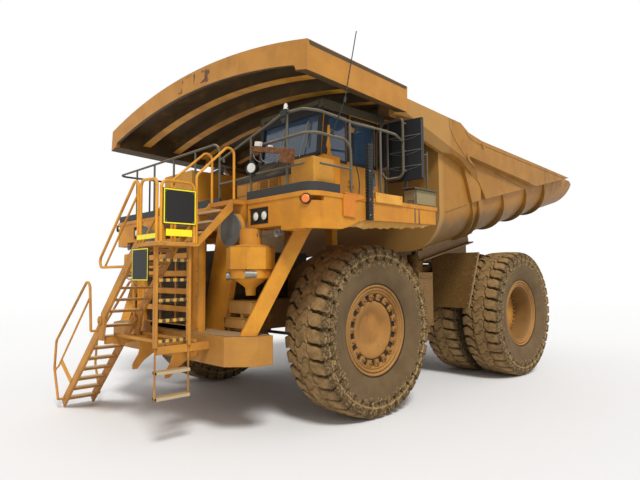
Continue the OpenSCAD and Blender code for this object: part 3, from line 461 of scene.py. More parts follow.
for side, s in (("left", 1), ("right", -1)):
    # Name, place across and along the truck, quarter turns, body and node of each tyre
    for name, x, y, quarters, body, node in (
        ("front", front_track, front_y, 0, "wheel_front", "front_tyre"),
        ("rear_outer", rear_track, rear_y, 1, "wheels_rear", "rear_tyres"),
        ("rear_inner", rear_track - twin_gap, rear_y, 2, "wheels_rear", "rear_tyres"),
    ):
        place_piece(f"tyre_{name}_{side}", tyre_mesh, wheel_place(x, y, s, quarters * math.pi / 2),
                    f"{body}_{side}", [f"{node}_{side}"])

# Wheel rims: five-piece earthmover rims of rolled steel with a lock ring, held by a ring of wedge clamps.
# The front ones have a dished cover over the hub, the rear ones are open down to the wheel motor.


def all_round(count):
    """Angles of a full turn in equal steps."""
    return [2 * math.pi * k / count for k in range(count)]


class Form:
    """A mesh put together from turned, bent, round and flat forms."""

    def __init__(self):
        self.bm = bmesh.new()

    def loft(self, rings, closed=False):
        """Skins rings of points that all have the same count, from the first to the last or back round."""
        made = [[self.bm.verts.new(p) for p in ring] for ring in rings]
        count = len(made[0])
        for a, b in zip(made, made[1:] + made[:1] if closed else made[1:]):
            for i in range(count):
                k = (i + 1) % count
                self.bm.faces.new((a[i], a[k], b[k], b[i]))
        if not closed:
            self.bm.faces.new(made[0][::-1])
            self.bm.faces.new(made[-1])
        return self

    def turned(self, profile, sides, at=Matrix.Identity(4), closed=False):
        """Turns an outline of (x, radius) about the X axis of at."""
        angles = all_round(sides)
        rings = [[at @ Vector((x, r * math.cos(t), r * math.sin(t))) for t in angles] for x, r in profile]
        return self.loft(rings, closed)

    def box(self, low, high, at=Matrix.Identity(4)):
        corners = [at @ Vector((x, y, z)) for z in (low[2], high[2])
                   for x, y in ((low[0], low[1]), (high[0], low[1]), (high[0], high[1]), (low[0], high[1]))]
        return self.loft([corners[:4], corners[4:]])

    def side_box(self, s, low, high):
        """A box given for the truck's left side, put on its left or right."""
        x0, x1 = sorted((s * low[0], s * high[0]))
        return self.box((x0, *low[1:]), (x1, *high[1:]))

    def plate(self, outline, low, high, axis="Y", at=Matrix.Identity(4)):
        """A flat plate. Its outline lies across the axis, as (x, z) for Y, (y, z) for X, (x, y) for Z."""
        def put(a, b, c):
            return at @ Vector({"X": (c, a, b), "Y": (a, c, b), "Z": (a, b, c)}[axis])
        return self.loft([[put(a, b, c) for a, b in outline] for c in (low, high)])

    def bar(self, a, b, radius, sides=16):
        a, b = Vector(a), Vector(b)
        at = Matrix.Translation(a) @ (b - a).to_track_quat("X", "Z").to_matrix().to_4x4()
        return self.turned([(0, radius), ((b - a).length, radius)], sides, at)

    def pipe(self, points, radius, bend=0.0, sides=12, steps=6):
        """A round tube along points, with its corners rounded to a bend radius."""
        points = [Vector(p) for p in points]
        way = [points[0]]
        for before, here, after in zip(points, points[1:], points[2:]):
            back, on = (before - here).normalized(), (after - here).normalized()
            angle = math.pi - back.angle(on)
            if bend <= 0 or angle < 0.02:
                way.append(here)
                continue
            room = 0.49 * min((before - here).length, (after - here).length)
            reach = min(bend * math.tan(angle / 2), room)
            start, end = here + back * reach, here + on * reach
            for k in range(steps + 1):
                t = k / steps
                way.append(start * (1 - t) ** 2 + here * 2 * t * (1 - t) + end * t * t)
        way.append(points[-1])
        lie = (way[1] - way[0]).normalized()
        up = lie.orthogonal().normalized()
        rings = []
        for i, p in enumerate(way):
            ahead = way[min(i + 1, len(way) - 1)] - way[max(i - 1, 0)]
            ahead = ahead.normalized() if ahead.length > 1e-9 else lie
            up = (up - ahead * up.dot(ahead)).normalized()
            side = ahead.cross(up)
            rings.append([p + (up * math.cos(t) + side * math.sin(t)) * radius for t in all_round(sides)])
            lie = ahead
        return self.loft(rings)

    def bolt(self, at, out, radius, high):
        """A hexagon bolt head on its washer, standing out from a face."""
        at, out = Vector(at), Vector(out).normalized()
        self.bar(at, at + out * high * 0.3, radius * 1.45, 12)
        return self.bar(at + out * high * 0.3, at + out * high, radius, 6)

    def mesh(self, name, finish, angle=32):
        """The finished mesh. Faces that meet at less than the angle, in degrees, are shaded as one."""
        bmesh.ops.recalc_face_normals(self.bm, faces=self.bm.faces)
        mesh = bpy.data.meshes.new(name)
        self.bm.to_mesh(mesh)
        self.bm.free()
        mesh.materials.append(finish.material)
        mesh.polygons.foreach_set("use_smooth", [True] * len(mesh.polygons))
        mesh.set_sharp_from_angle(angle=math.radians(angle))
        return mesh

    def piece(self, name, finish, body, bevel=0.0, replaces=(), slot=None, angle=32):
        made = place_piece(name, self.mesh(name, finish, angle), Matrix.Identity(4), body, replaces)
        if bevel:
            rounding = made.modifiers.new("edges", "BEVEL")
            rounding.width = bevel
            rounding.segments = 2
            rounding.limit_method = "ANGLE"
            rounding.angle_limit = math.radians(40)
        return made


def shaded_rim_well(f, where, face, patch, colour):
    """The well of a rear rim, painted brown as the shade that falls in it, inside the bright lock ring."""
    within = 1 - f.from_axle(where).rise(0.632, 0.650)
    return f.mix(within, colour, f.mix(patch, tone(112, 80, 40), tone(138, 102, 56)))


rim_paint = dusty_paint("rim_paint", tone(158, 116, 62), tone(136, 96, 50), dust=0.62, stain=0.45, chips=0.5)
hub_paint = dusty_paint("hub_paint", tone(160, 112, 50), tone(132, 88, 40), dust=0.55, stain=0.6, chips=0.2)
# The rear rims' wells carry painted shade
rear_rim_paint = dusty_paint("rear_rim_paint", tone(160, 114, 58), tone(138, 94, 44), stain=0.5,
                             over=shaded_rim_well)
rear_hub_paint = dusty_paint("rear_hub_paint", tone(190, 138, 66), tone(170, 118, 54), dust=0.5, stain=0.4)
# A dark coat for painted shade in the front rims' wells, and for the dark seams of the cab's panels
well_shade_and_seams = plain_paint("rim_well_shade_and_seams", tone(52, 40, 28), MUD, dust=0.5, rough=0.8)
# Outlines of half a rim's section, as distance out from its middle and radius
rim_edge = [
    (-0.33, 0.600), (-0.33, 0.770), (-0.322, 0.776), (-0.300, 0.776), (-0.292, 0.700), (-0.280, 0.652),
    (0.280, 0.652), (0.292, 0.700), (0.302, 0.778), (0.322, 0.786), (0.338, 0.783), (0.346, 0.772),
    (0.345, 0.757), (0.336, 0.748), (0.318, 0.742), (0.312, 0.733), (0.318, 0.722), (0.330, 0.716),
    (0.334, 0.704), (0.326, 0.692), (0.306, 0.686), (0.298, 0.676), (0.304, 0.664), (0.312, 0.656),
    (0.306, 0.644),
]
front_well = [(0.262, 0.636), (0.246, 0.628), (0.242, 0.520), (0.20, 0.500), (0.12, 0.490), (0.12, 0.440),
              (-0.20, 0.440), (-0.20, 0.560)]
rear_well = [(0.270, 0.624), (0.200, 0.606), (-0.120, 0.594), (-0.150, 0.586), (-0.155, 0.470),
             (-0.200, 0.470), (-0.200, 0.590)]
# A dark ring over the bottom of the front rim's well, as painted shade
well_floor = [(0.20, 0.50), (0.2455, 0.50), (0.2455, 0.634), (0.20, 0.634)]
front_hub = [(0.125, 0.502), (0.238, 0.502), (0.256, 0.494), (0.262, 0.478), (0.256, 0.440), (0.232, 0.380),
             (0.200, 0.320), (0.176, 0.286), (0.166, 0.262), (0.163, 0.200), (0.166, 0.10), (0.168, 0.0015)]
rear_hub = [(-0.19, 0.560), (-0.13, 0.556), (-0.118, 0.545), (-0.116, 0.500), (-0.116, 0.470),
            (-0.100, 0.462), (-0.096, 0.440), (-0.092, 0.300), (-0.088, 0.150), (-0.086, 0.0015)]
rim_sides, clamp_count, stud_ring = 96, 18, 0.575
wedge = [(-0.040, 0.515), (0.040, 0.515), (0.056, 0.632), (-0.056, 0.632)]
wedge_steps = [(0.235, 1.0), (0.276, 1.0), (0.288, 0.82)]
# Washer, nut and stud end of a clamp: from, to, radius and sides of each
clamp_nut = [(0.286, 0.300, 0.030, 12), (0.298, 0.326, 0.021, 6), (0.324, 0.338, 0.011, 10)]
# Rings of bolts on the motor's cover: count, place, ring radius, bolt radius and height
cover_bolts = [(30, -0.120, 0.522, 0.021, 0.045), (16, -0.100, 0.452, 0.012, 0.02)]
front_spin = 0.12

front_clamps = Form()
for t in all_round(clamp_count):
    spin = Matrix.Rotation(t, 4, "X")
    front_clamps.loft([[spin @ Vector((x, a * share, b)) for a, b in wedge] for x, share in wedge_steps])
    for x0, x1, radius, sides in clamp_nut:
        front_clamps.bar(spin @ Vector((x0, 0, stud_ring)), spin @ Vector((x1, 0, stud_ring)), radius, sides)
rear_cover = Form().turned(rear_hub, rim_sides)
for count, x, ring_r, radius, high in cover_bolts:
    for t in all_round(count):
        rear_cover.bolt((x, ring_r * math.cos(t), ring_r * math.sin(t)), (1, 0, 0), radius, high)
front_meshes = {
    "rim_front": Form().turned(rim_edge + front_well, rim_sides, closed=True).mesh("rim_front", rim_paint),
    "hub_cover_front": Form().turned(front_hub, rim_sides).mesh("hub_cover_front", hub_paint),
    "rim_clamps_front": front_clamps.mesh("rim_clamps_front", rim_paint),
    "rim_well_shade_front": Form().turned(well_floor, rim_sides, closed=True).mesh("rim_well_shade_front", well_shade_and_seams),
}
rear_rim_mesh = Form().turned(rim_edge + rear_well, rim_sides, closed=True).mesh("rim_rear", rear_rim_paint)
rear_cover_mesh = rear_cover.mesh("motor_cover_rear", rear_hub_paint)
for side, s in (("left", 1), ("right", -1)):
    for name, mesh in front_meshes.items():
        place_piece(f"{name}_{side}", mesh, wheel_place(front_track, front_y, s, front_spin),
                    f"wheel_front_{side}", [f"front_rim_{side}"])
    for name, mesh, x in (("rim_rear_outer", rear_rim_mesh, rear_track),
                          ("rim_rear_inner", rear_rim_mesh, rear_track - twin_gap),
                          ("motor_cover_rear", rear_cover_mesh, rear_track)):
        place_piece(f"{name}_{side}", mesh, wheel_place(x, rear_y, s), f"wheels_rear_{side}",
                    [f"rear_rims_{side}"])

# Front bumper and grille: a box-section bumper of welded plate on the frame rails, and over it a bolted
# frame with five flat bars across a woven wire screen that keeps stones off the radiator.

front_paint = dusty_paint("front_paint", PAINT, PAINT_SHADE, dust=0.3, stain=0.3)
# The bumper's paint is darker than the front's: dust, and painted shade for the shadow it lies in
bumper_dust_and_shade_paint = dusty_paint("bumper_dust_and_shade_paint", tone(186, 132, 56), tone(168, 114, 44), dust=0.6, stain=0.4)
box_tan = dusty_paint("box_tan", tone(190, 142, 72), tone(170, 124, 62), dust=0.7)
grit = plain_paint("settled_grit", tone(112, 92, 66), tone(150, 124, 88), dust=0.7, rough=0.9)
wire = plain_paint("screen_wire", tone(84, 78, 66), DUST, dust=0.35, rough=0.6, metal=0.3)
dress(front_paint, "grille", "deck_struts", "air_cleaners")
dress(bumper_dust_and_shade_paint, "front_bumper")
screen_y, screen_half, screen_low, screen_high = -5.016, 0.775, 1.622, 3.018
screen_pitch, wire_r = 0.0388, 0.0034
screen = Form()
for k in range(1, int(2 * screen_half / screen_pitch)):
    x = -screen_half + k * screen_pitch
    screen.bar((x, screen_y, screen_low), (x, screen_y, screen_high), wire_r, 5)
for k in range(1, int((screen_high - screen_low) / screen_pitch)):
    z = screen_low + k * screen_pitch
    screen.bar((-screen_half, screen_y - 0.005, z), (screen_half, screen_y - 0.005, z), wire_r, 5)
screen.piece("grille_screen", wire, "chassis", slot="body_paint")
bar_count, bar_low, bar_pitch, bar_half = 5, 1.590, 0.300, 0.778
# Section of a folded bar: a flat face with its two edges turned in
fold = [(-5.060, -0.046), (-5.060, 0.046), (-5.030, 0.050), (-5.030, 0.044), (-5.054, 0.040),
        (-5.054, -0.040), (-5.030, -0.044), (-5.030, -0.050)]
grille_trim = Form()
for k in range(bar_count):
    grille_trim.plate([(y, bar_low + bar_pitch * k + z) for y, z in fold], -bar_half, bar_half, "X")
for s in (-1, 1):
    # Side columns in two folded strips, of which the outer one is bolted on
    for x0, x1 in ((0.800, 0.846), (1.030, 1.082)):
        grille_trim.side_box(s, (x0, -5.068, 1.60), (x1, -5.058, 3.03))
    for k in range(7):
        grille_trim.bolt((s * 1.056, -5.067, 1.70 + 0.205 * k), (0, -1, 0), 0.011, 0.010)
grille_trim.piece("grille_trim", front_paint, "chassis", 0.003, slot="body_paint")

# The grit lies inside the bumper's edge, a little inside its cut corners too
bumper_top, bumper_face, bumper_half, bumper_cut, bumper_rear = 1.54, -5.15, 2.30, 0.35, -4.52
grit_x, grit_y = bumper_half - 0.05, bumper_face + 0.05
cut_x, cut_y = bumper_half - bumper_cut - 0.01, bumper_face + bumper_cut + 0.01
grit_half = [(grit_x, bumper_rear), (grit_x, cut_y), (cut_x, grit_y)]
grit_line = [(-x, y) for x, y in grit_half] + grit_half[::-1]
dirt = Form().plate(grit_line, bumper_top + 0.0005, bumper_top + 0.007, "Z")
dirt.piece("bumper_grit", grit, "chassis", slot="body_paint")
# Two lidded boxes on posts behind the bumper's left end
lid_out, lid_high = 0.012, 0.016
boxes = Form()
for low, high in (((1.30, -4.62, 1.84), (1.90, -4.36, 2.03)), ((1.20, -4.64, 1.60), (1.70, -4.36, 1.76))):
    boxes.box(low, high)
    lid_low = (low[0] - lid_out, low[1] - lid_out, high[2])
    boxes.box(lid_low, (high[0] + lid_out, high[1] + lid_out, high[2] + lid_high))
for x in (1.24, 1.60):
    boxes.box((x, -4.60, bumper_top + 0.0003), (x + 0.06, -4.40, 1.84))
boxes.piece("bumper_boxes", box_tan, "chassis", 0.006, slot="body_paint")

# Air cleaners: on each side a precleaner canister with its dust cup, and a round intake lid ahead of the
# sloping plate. Painted sheet steel, strapped to the deck's front, with two small lamps below each lid.

canister_x, canister_y = 1.87, -4.60
dust_cup = [(2.135, 0.050), (2.135, 0.074), (2.252, 0.086), (2.262, 0.092), (2.392, 0.258), (2.400, 0.330),
            (2.425, 0.338), (2.536, 0.338), (2.541, 0.330), (2.541, 0.05)]
canister_neck = [(2.879, 0.10), (2.879, 0.345), (2.888, 0.352), (2.896, 0.345), (2.930, 0.175),
                 (3.170, 0.172), (3.170, 0.10)]
intake_lid = [(0.0, 0.281), (0.096, 0.281), (0.104, 0.274), (0.104, 0.262), (0.096, 0.256), (0.092, 0.12),
              (0.098, 0.11), (0.098, 0.02), (0.098, 0.0015)]
small_shell = [(-0.16, 0.035), (-0.16, 0.052), (-0.10, 0.056), (-0.01, 0.062), (0.02, 0.066), (0.02, 0.058),
               (0.0, 0.050)]
small_lens = [(0.004, 0.056), (0.012, 0.050), (0.018, 0.03), (0.020, 0.0015)]
lid_metal = plain_paint("intake_lid", tone(98, 98, 94), tone(136, 122, 98), dust=0.4, rough=0.6)
lamp_shell = plain_paint("lamp_shell", tone(150, 148, 140), DUST, dust=0.25, rough=0.35, metal=0.8)
lens_clear = Finish("lamp_lens", Base_Color=tone(222, 218, 206), Roughness=0.22, Coat_Weight=0.5)
cups, lid, small_lamps, small_lenses = Form(), Form(), Form(), Form()
for s in (-1, 1):
    for profile in (dust_cup, canister_neck):
        cups.turned(profile, 40, stand(s * canister_x, canister_y, 0, -90, "Y"))
    lid.turned(intake_lid, 56, stand(s * 1.505, -4.6405, 3.18, -90))
    for x, y, z in ((1.72, -4.93, 2.44), (2.10, -4.86, 2.465)):
        at = stand(s * x, y, z, -118 if s > 0 else -62)
        small_lamps.turned(small_shell, 24, at)
        small_lenses.turned(small_lens, 24, at)
    small_lamps.bar((s * 1.80, -4.80, 2.40), (s * 1.90, -4.55, 2.42), 0.014, 8)
    small_lamps.bar((s * 1.74, -4.86, 2.40), (s * 2.10, -4.80, 2.42), 0.016, 8)
cups.piece("canister_cups", front_paint, "chassis", slot="body_paint", angle=30)
lid.piece("intake_lids", lid_metal, "chassis", slot="dark_paint")
small_lamps.piece("side_lamp_shells", lamp_shell, "chassis", slot="chrome_rod")
small_lenses.piece("side_lamp_lenses", lens_clear, "chassis", slot="lamp")

# Deck: a folded plate deck with a deep lamp panel in front and skirts down its sides. A beam runs along
# its edge, and a black toe board stands along it.

deck_paint = dusty_paint("deck_paint", tone(206, 138, 30), tone(190, 120, 26), dust=0.28, stain=0.3)
toe_black = plain_paint("toe_board_black", tone(52, 52, 50), tone(120, 104, 78), dust=0.3, rough=0.6)
dress(deck_paint, "deck")
deck_half, deck_front, deck_round, on_deck = 3.27, -4.60, 0.25, 3.6505


def deck_edge(out, rear, front_from):
    """Points (x, y) along the deck's left edge, a distance outside it, from the front round to the side."""
    r = deck_round + out
    turn_at = (deck_half - deck_round, deck_front + deck_round)
    bow = [(turn_at[0] + r * math.sin(t), turn_at[1] - r * math.cos(t)) for t in
           (math.radians(90) * k / 10 for k in range(11))]
    return [(front_from, deck_front - out)] + bow + [(deck_half + out, rear)]


def edge_band(form, s, outer, inner, rear, front_from, low, high):
    """An upright band along the deck's edge, between two distances outside it."""
    ring = deck_edge(outer, rear, front_from) + deck_edge(inner, rear, front_from)[::-1]
    form.plate([(s * x, y) for x, y in ring], low, high, "Z")


edge_beam, toe = Form(), Form()
# The toe board runs further back on the right, where no cab stands
for s, toe_from, toe_rear in ((-1, -0.98, -2.402), (1, 1.742, -3.992)):
    edge_band(edge_beam, s, 0.012, -0.002, -1.50, 1.80, 3.575, 3.646)
    edge_band(toe, s, -0.0185, -0.0335, toe_rear, toe_from, on_deck, 3.784)
edge_beam.piece("deck_edge_beam", deck_paint, "chassis", 0.004, slot="body_paint")
toe.piece("toe_board_faces", toe_black, "chassis", slot="dark_paint")
step_plate = Form().box((1.02, -4.822, on_deck), (1.70, deck_front, 3.657))
step_plate.box((1.0, -4.834, 3.575), (1.72, -4.8305, 3.652))
step_plate.piece("stair_head_plate", deck_paint, "chassis", 0.002, slot="body_paint")

# Fenders: plates below the deck's sides that are hung thick with dried mud from the front tyres. The mud
# has broken off along its lower edge, so each length of it hangs down by its own amount.

mud_cake = plain_paint("mud_cake", tone(200, 150, 76), tone(224, 176, 102), dust=0.7, rough=0.95)
fender_front, fender_long, fender_steps = -3.75, 2.30, 40
fender = Form()
for s in (-1, 1):
    rings = []
    for k in range(fender_steps + 1):
        t = k / fender_steps
        bulge = math.sin(math.pi * t)
        y = fender_front + fender_long * t
        top = 3.24 + 0.17 * math.sin(math.pi * min(t * 0.8, 1)) + 0.02 * t
        ragged_low = 0.035 * abs(math.sin(t * 39) * math.sin(t * 17 + 1))
        hang = 0.17 * bulge**0.7 + ragged_low + 0.012
        x = 3.19 - 0.10 * (1 - bulge)
        lump = 0.012 * math.sin(t * 63)
        section = ((-0.06, 0), (0.005, 0), (0.010 + lump, 0.45), (-0.05 + lump, 1), (-0.10, 0.92))
        rings.append([(s * (x + out), y, top - hang * share) for out, share in section])
    fender.loft(rings)
fender.piece("fender_mud", mud_cake, "chassis", slot="muddy_paint", angle=60)

# Headlamps and corner lamps: twin round lamps in a black recess on each side, and an amber lamp with a
# rubber ring at each rounded corner of the deck. All of them are bolted from behind, with horns below.

board_black = plain_paint("board_black", tone(30, 30, 29), DUST, dust=0.22, rough=0.5)
amber_lens = Finish("amber_lens", Base_Color=tone(250, 120, 22), Roughness=0.25, Coat_Weight=0.6)
recess_y, head_z, head_xs, recess_bolts = -4.5605, 3.37, (1.99, 2.195), (0.4, 1.9, 3.5, 5.0)
head_ring = [(0.0, 0.070), (0.0, 0.088), (0.036, 0.084), (0.040, 0.078), (0.036, 0.072), (0.020, 0.070)]
head_lens = [(0.018, 0.071), (0.032, 0.064), (0.040, 0.045), (0.044, 0.02), (0.045, 0.0015)]
corner_z, corner_turn = 3.53, math.radians(28)
corner_ring = [(0.0, 0.060), (0.0, 0.078), (0.030, 0.078), (0.040, 0.070), (0.040, 0.060)]
corner_lens = [(0.0, 0.066), (0.036, 0.064), (0.046, 0.05), (0.052, 0.025), (0.053, 0.0015)]
horn_y, horn_z, horn_xs = -4.60, 3.075, (1.99, 2.52)
horn_bell = [(-0.10, 0.030), (-0.04, 0.036), (0.0, 0.062), (0.010, 0.066), (0.012, 0.058), (0.0, 0.040),
             (-0.02, 0.02)]
recess, head_rings, head_lenses, corner_rings, corner_lenses, horns = (Form() for _ in range(6))
for s in (-1, 1):
    recess.side_box(s, (1.832, -4.5725, 3.242), (2.308, recess_y, 3.498))
    for x in head_xs:
        at = stand(s * x, recess_y, head_z, -90)
        head_rings.turned(head_ring, 40, at, closed=True)
        head_lenses.turned(head_lens, 40, at)
        for t in recess_bolts:
            bolt_at = (s * x + 0.10 * math.cos(t), -4.572, head_z + 0.10 * math.sin(t))
            recess.bolt(bolt_at, (0, -1, 0), 0.007, 0.006)
    out = Vector((s * math.sin(corner_turn), -math.cos(corner_turn), 0))
    centre = Vector((s * (deck_half - deck_round), deck_front + deck_round, corner_z))
    facing = out.to_track_quat("X", "Z").to_matrix().to_4x4()
    at = Matrix.Translation(centre + out * (deck_round + 0.0003)) @ facing
    corner_rings.turned(corner_ring, 36, at, closed=True)
    corner_lenses.turned(corner_lens, 36, at)
    for x in horn_xs:
        horns.turned(horn_bell, 24, stand(s * x, horn_y, horn_z, -90))
        horns.box((s * x - 0.02, -4.52, 3.07), (s * x + 0.02, -4.49, 3.181))
    tube_line = ((horn_xs[0], -4.53, horn_z), (2.25, -4.52, 3.045), (horn_xs[1], -4.53, horn_z))
    horns.pipe([(s * x, y, z) for x, y, z in tube_line], 0.022, 0.1)
recess.piece("headlamp_recesses", board_black, "chassis", 0.002, slot="dark_paint")
head_rings.piece("headlamp_rings", board_black, "chassis", replaces=["lamps"], slot="dark_paint")
head_lenses.piece("headlamp_lenses", lens_clear, "chassis", replaces=["lamps"], slot="lamp")
corner_lenses.piece("corner_lamp_lenses", amber_lens, "chassis", replaces=["lamps"], slot="lamp")
corner_rings.piece("corner_lamp_rings", board_black, "chassis", replaces=["lamps"], slot="dark_paint")
horns.piece("horns", lid_metal, "chassis", slot="dark_paint")

# Cab: a rollover-safe steel cab on the deck's left, with black window frames, a bonded windscreen, a dusty
# roof edge and a sloping black ledge before the windscreen. The doors swing on outside hinges.

cab_paint = dusty_paint("cab_paint", tone(208, 148, 52), tone(192, 132, 44), dust=0.55, stain=0.3)
frame_black = plain_paint("window_frame_black", tone(32, 32, 31), DUST, dust=0.18, rough=0.5)
roof_olive = plain_paint("roof_edge_dusty", tone(86, 80, 60), tone(122, 108, 76), dust=0.6, rough=0.75)
dress(cab_paint, "cab_shell", "cab_lockers", "door_left", "door_right")
dress(board_black, "cab_interior")
glass = Finish("cab_window_glass", IOR=1.5, Transmission_Weight=0.45, Coat_Weight=0.4)
glass_where = glass.place()
cloudy = glass.noise(glass_where, 1.4, 3, 0.5, (1, 1, 0.5))
smear = (cloudy + glass.noise(glass_where, 24, 3) * 0.2).rise(0.45, 0.95)
glass.set(
    Base_Color=glass.mix(smear * 0.5, tone(66, 98, 134), tone(104, 118, 126)),
    Roughness=smear * 0.18 + 0.03,
)
dress(glass, "cab_glass", "door_glass_left", "door_glass_right")
cab_near, cab_far, cab_front, cab_rear = 0.85, 2.50, -3.65, -2.00
sill_z, roof_z, side_low, side_high = 4.45, 5.35, 4.39, 5.16
# The windscreen leans back. Its frame and seal are given in its own axes, from the sill up.
lean = math.atan2(0.09, roof_z - sill_z)
glass_place = stand(0, cab_front, sill_z, -math.degrees(lean), "X")
rise = (roof_z - sill_z) / math.cos(lean)
frame_near, frame_far, frame_top = cab_near - 0.006, cab_far + 0.006, rise - 0.03
open_near, open_far, open_low, open_high = cab_near + 0.092, cab_far - 0.092, 0.022, 0.71
seal_near, seal_far, seal_low, seal_high, seal_wide = cab_near + 0.088, cab_far - 0.088, 0.018, 0.714, 0.018
front_frame, seal, wiper = Form(), Form(), Form()
for x0, z0, x1, z1 in ((frame_near, -0.03, frame_far, open_low),
                       (frame_near, open_high, frame_far, frame_top),
                       (frame_near, open_low, open_near, open_high),
                       (open_far, open_low, frame_far, open_high)):
    front_frame.box((x0, -0.014, z0), (x1, -0.001, z1), glass_place)
front_frame.piece("windscreen_frame", frame_black, "chassis", 0.003, slot="dark_paint")
for x0, z0, x1, z1 in ((seal_near, seal_low, seal_far, 0.034), (seal_near, 0.698, seal_far, seal_high),
                       (seal_near, seal_low, seal_near + seal_wide, seal_high),
                       (seal_far - seal_wide, seal_low, seal_far, seal_high)):
    seal.box((x0, -0.008, z0), (x1, 0.018, z1), glass_place)
for x, swing in ((1.42, 12), (2.02, 14)):
    foot = glass_place @ Vector((x, -0.030, 0.02))
    tip = glass_place @ Vector((x + 0.62 * math.sin(math.radians(swing)), -0.022, 0.60))
    wiper.bar(glass_place @ Vector((x, 0.0, 0.02)), foot, 0.020, 12)
    wiper.bar(foot, tip, 0.009, 8)
    blade = [glass_place @ Vector(p) for p in ((x + 0.14, -0.010, 0.16), (x + 0.15, -0.010, 0.62))]
    wiper.bar(*blade, 0.010, 6)
seal.piece("windscreen_seal", board_black, "chassis", slot="trim")
wiper.piece("wipers", lamp_shell, "chassis", slot="dark_paint")
# Each side's window frame: a sloping front strip, and the others as y and z, low and high
pillar_rear, frame_out, door_frame_out, frame_high = -3.466, 0.007, 0.006, roof_z - 0.13
slope_front = [(cab_front + 0.006, side_low), (cab_front + 0.100, roof_z - 0.16),
               (pillar_rear, side_high + 0.03), (pillar_rear, side_low)]
frame_strips = ((-3.60, side_high, -2.945, frame_high), (-3.02, side_low, -2.958, side_high),
                (-3.58, side_low - 0.05, -3.02, side_low),
                (-2.165, side_low - 0.05, cab_rear - 0.004, frame_high))
door_strips = ((-2.915, 4.34, -2.185, 4.40), (-2.915, 5.155, -2.185, 5.207), (-2.915, 4.40, -2.838, 5.155),
               (-2.262, 4.40, -2.185, 5.155))
handle_y, handle_out = -2.32, 0.055
for side, face, s in (("left", cab_far, 1), ("right", cab_near, -1)):
    panel, door_frame, handle = Form(), Form(), Form()
    x0, x1 = sorted((face, face + s * frame_out))
    panel.plate(slope_front, x0, x1, "X")
    for y0, z0, y1, z1 in frame_strips:
        panel.box((x0, y0, z0), (x1, y1, z1))
    panel.piece(f"cab_side_frame_{side}", frame_black, "chassis", 0.002, slot="dark_paint")
    x0, x1 = sorted((face, face + s * door_frame_out))
    for y0, z0, y1, z1 in door_strips:
        door_frame.box((x0, y0, z0), (x1, y1, z1))
    door_frame.piece(f"door_frame_{side}", frame_black, f"door_{side}", 0.002, slot="dark_paint")
    grip = face + s * handle_out
    handle_line = ((face, 4.05), (grip, 4.05), (grip, 4.27), (face, 4.27))
    handle.pipe([(x, handle_y, z) for x, z in handle_line], 0.011, 0.03, 8)
    x0, x1 = sorted((face, face + s * 0.008))
    handle.box((x0, handle_y - 0.04, 3.98), (x1, handle_y + 0.04, 4.32))
    handle.piece(f"door_handle_{side}", lamp_shell, f"door_{side}", slot="chrome_rod")
roof_line = [(-3.585, 5.248), (-3.600, 5.232), (-3.590, 5.375), (-2.0, 5.375), (-1.985, 5.36),
             (-1.985, 5.24), (-2.0, 5.232), (-3.57, 5.225)]
roof_edge = Form()
roof_edge.plate(roof_line, cab_far - 0.10, cab_far + 0.012, "X")
roof_edge.plate(roof_line, cab_near - 0.012, cab_near + 0.10, "X")
roof_edge.box((cab_near + 0.09, -3.585, 5.335), (cab_far - 0.09, -2.0, 5.372))
roof_edge.box((cab_near + 0.09, -3.606, 5.29), (cab_far - 0.09, -3.575, 5.372))
roof_edge.piece("cab_roof_edge", roof_olive, "chassis", 0.006, slot="cab_paint")

# Front of the cab: the ledge's black cover, two columns of louvres in the locker's front, its seams, and
# the brighter box at the cab's corner with what is left of the paint on the pillar above it.

bright_paint = dusty_paint("bright_paint", tone(244, 166, 24), tone(226, 142, 22), dust=0.12, stain=0.15,
                           chips=0.5)
ledge_near, ledge_far, cheek_thick = 0.862, 2.488, 0.007
ledge_line = [(-4.162, 4.055), (-4.162, 4.098), (-4.140, 4.122), (-3.652, 4.462), (-3.652, 4.450),
              (-4.132, 4.112), (-4.1505, 4.092), (-4.1505, 4.055)]
cheek_line = ledge_line[:4] + [(-3.652, 4.36), (-4.10, 4.055)]
ledge = Form().plate(ledge_line, ledge_near, ledge_far, "X")
for x in (ledge_near, ledge_far - cheek_thick):
    ledge.plate(cheek_line, x, x + cheek_thick, "X")
ledge.piece("windscreen_ledge", toe_black, "chassis", 0.002, slot="dark_paint")
louvre_count, louvre_low, louvre_pitch, louvre_wide = 5, 3.886, 0.033, 0.20
louvre_line = [(-4.1535, 0), (-4.168, 0.005), (-4.170, 0.009), (-4.1535, 0.020)]
louvre = Form().box((1.500, -4.1545, 3.862), (2.040, -4.1502, 4.048))
for x0 in (1.545, 1.800):
    for k in range(louvre_count):
        z = louvre_low + louvre_pitch * k
        louvre.plate([(y, z + up) for y, up in louvre_line], x0, x0 + louvre_wide, "X")
for x in (1.515, 2.025):
    for z in (3.878, 4.034):
        louvre.bolt((x, -4.1545, z), (0, -1, 0), 0.007, 0.006)
louvre.piece("locker_louvres", cab_paint, "chassis", slot="cab_paint")
seam_wide, seam_out, seam_in = 0.006, -4.1525, -4.1500
seams = Form()
for x in (1.16, 1.47, 2.07):
    seams.box((x, seam_out, 3.70), (x + seam_wide, seam_in, 4.05))
seams.box((0.87, seam_out, 3.835), (2.48, seam_in, 3.841))
for y in (-2.94, -2.165):
    seams.box((2.4995, y, 3.68), (2.5025, y + seam_wide, 4.34))
seams.piece("cab_panel_seams", well_shade_and_seams, "chassis", slot="dark_paint")
corner_box = Form().box((2.4985, -3.645, 3.90), (2.545, -3.235, 4.43))
corner_box.box((2.22, -3.70, 4.00), (2.545, -3.645, 4.40))
corner_box.piece("cab_corner_box", bright_paint, "chassis", 0.008, slot="cab_paint")
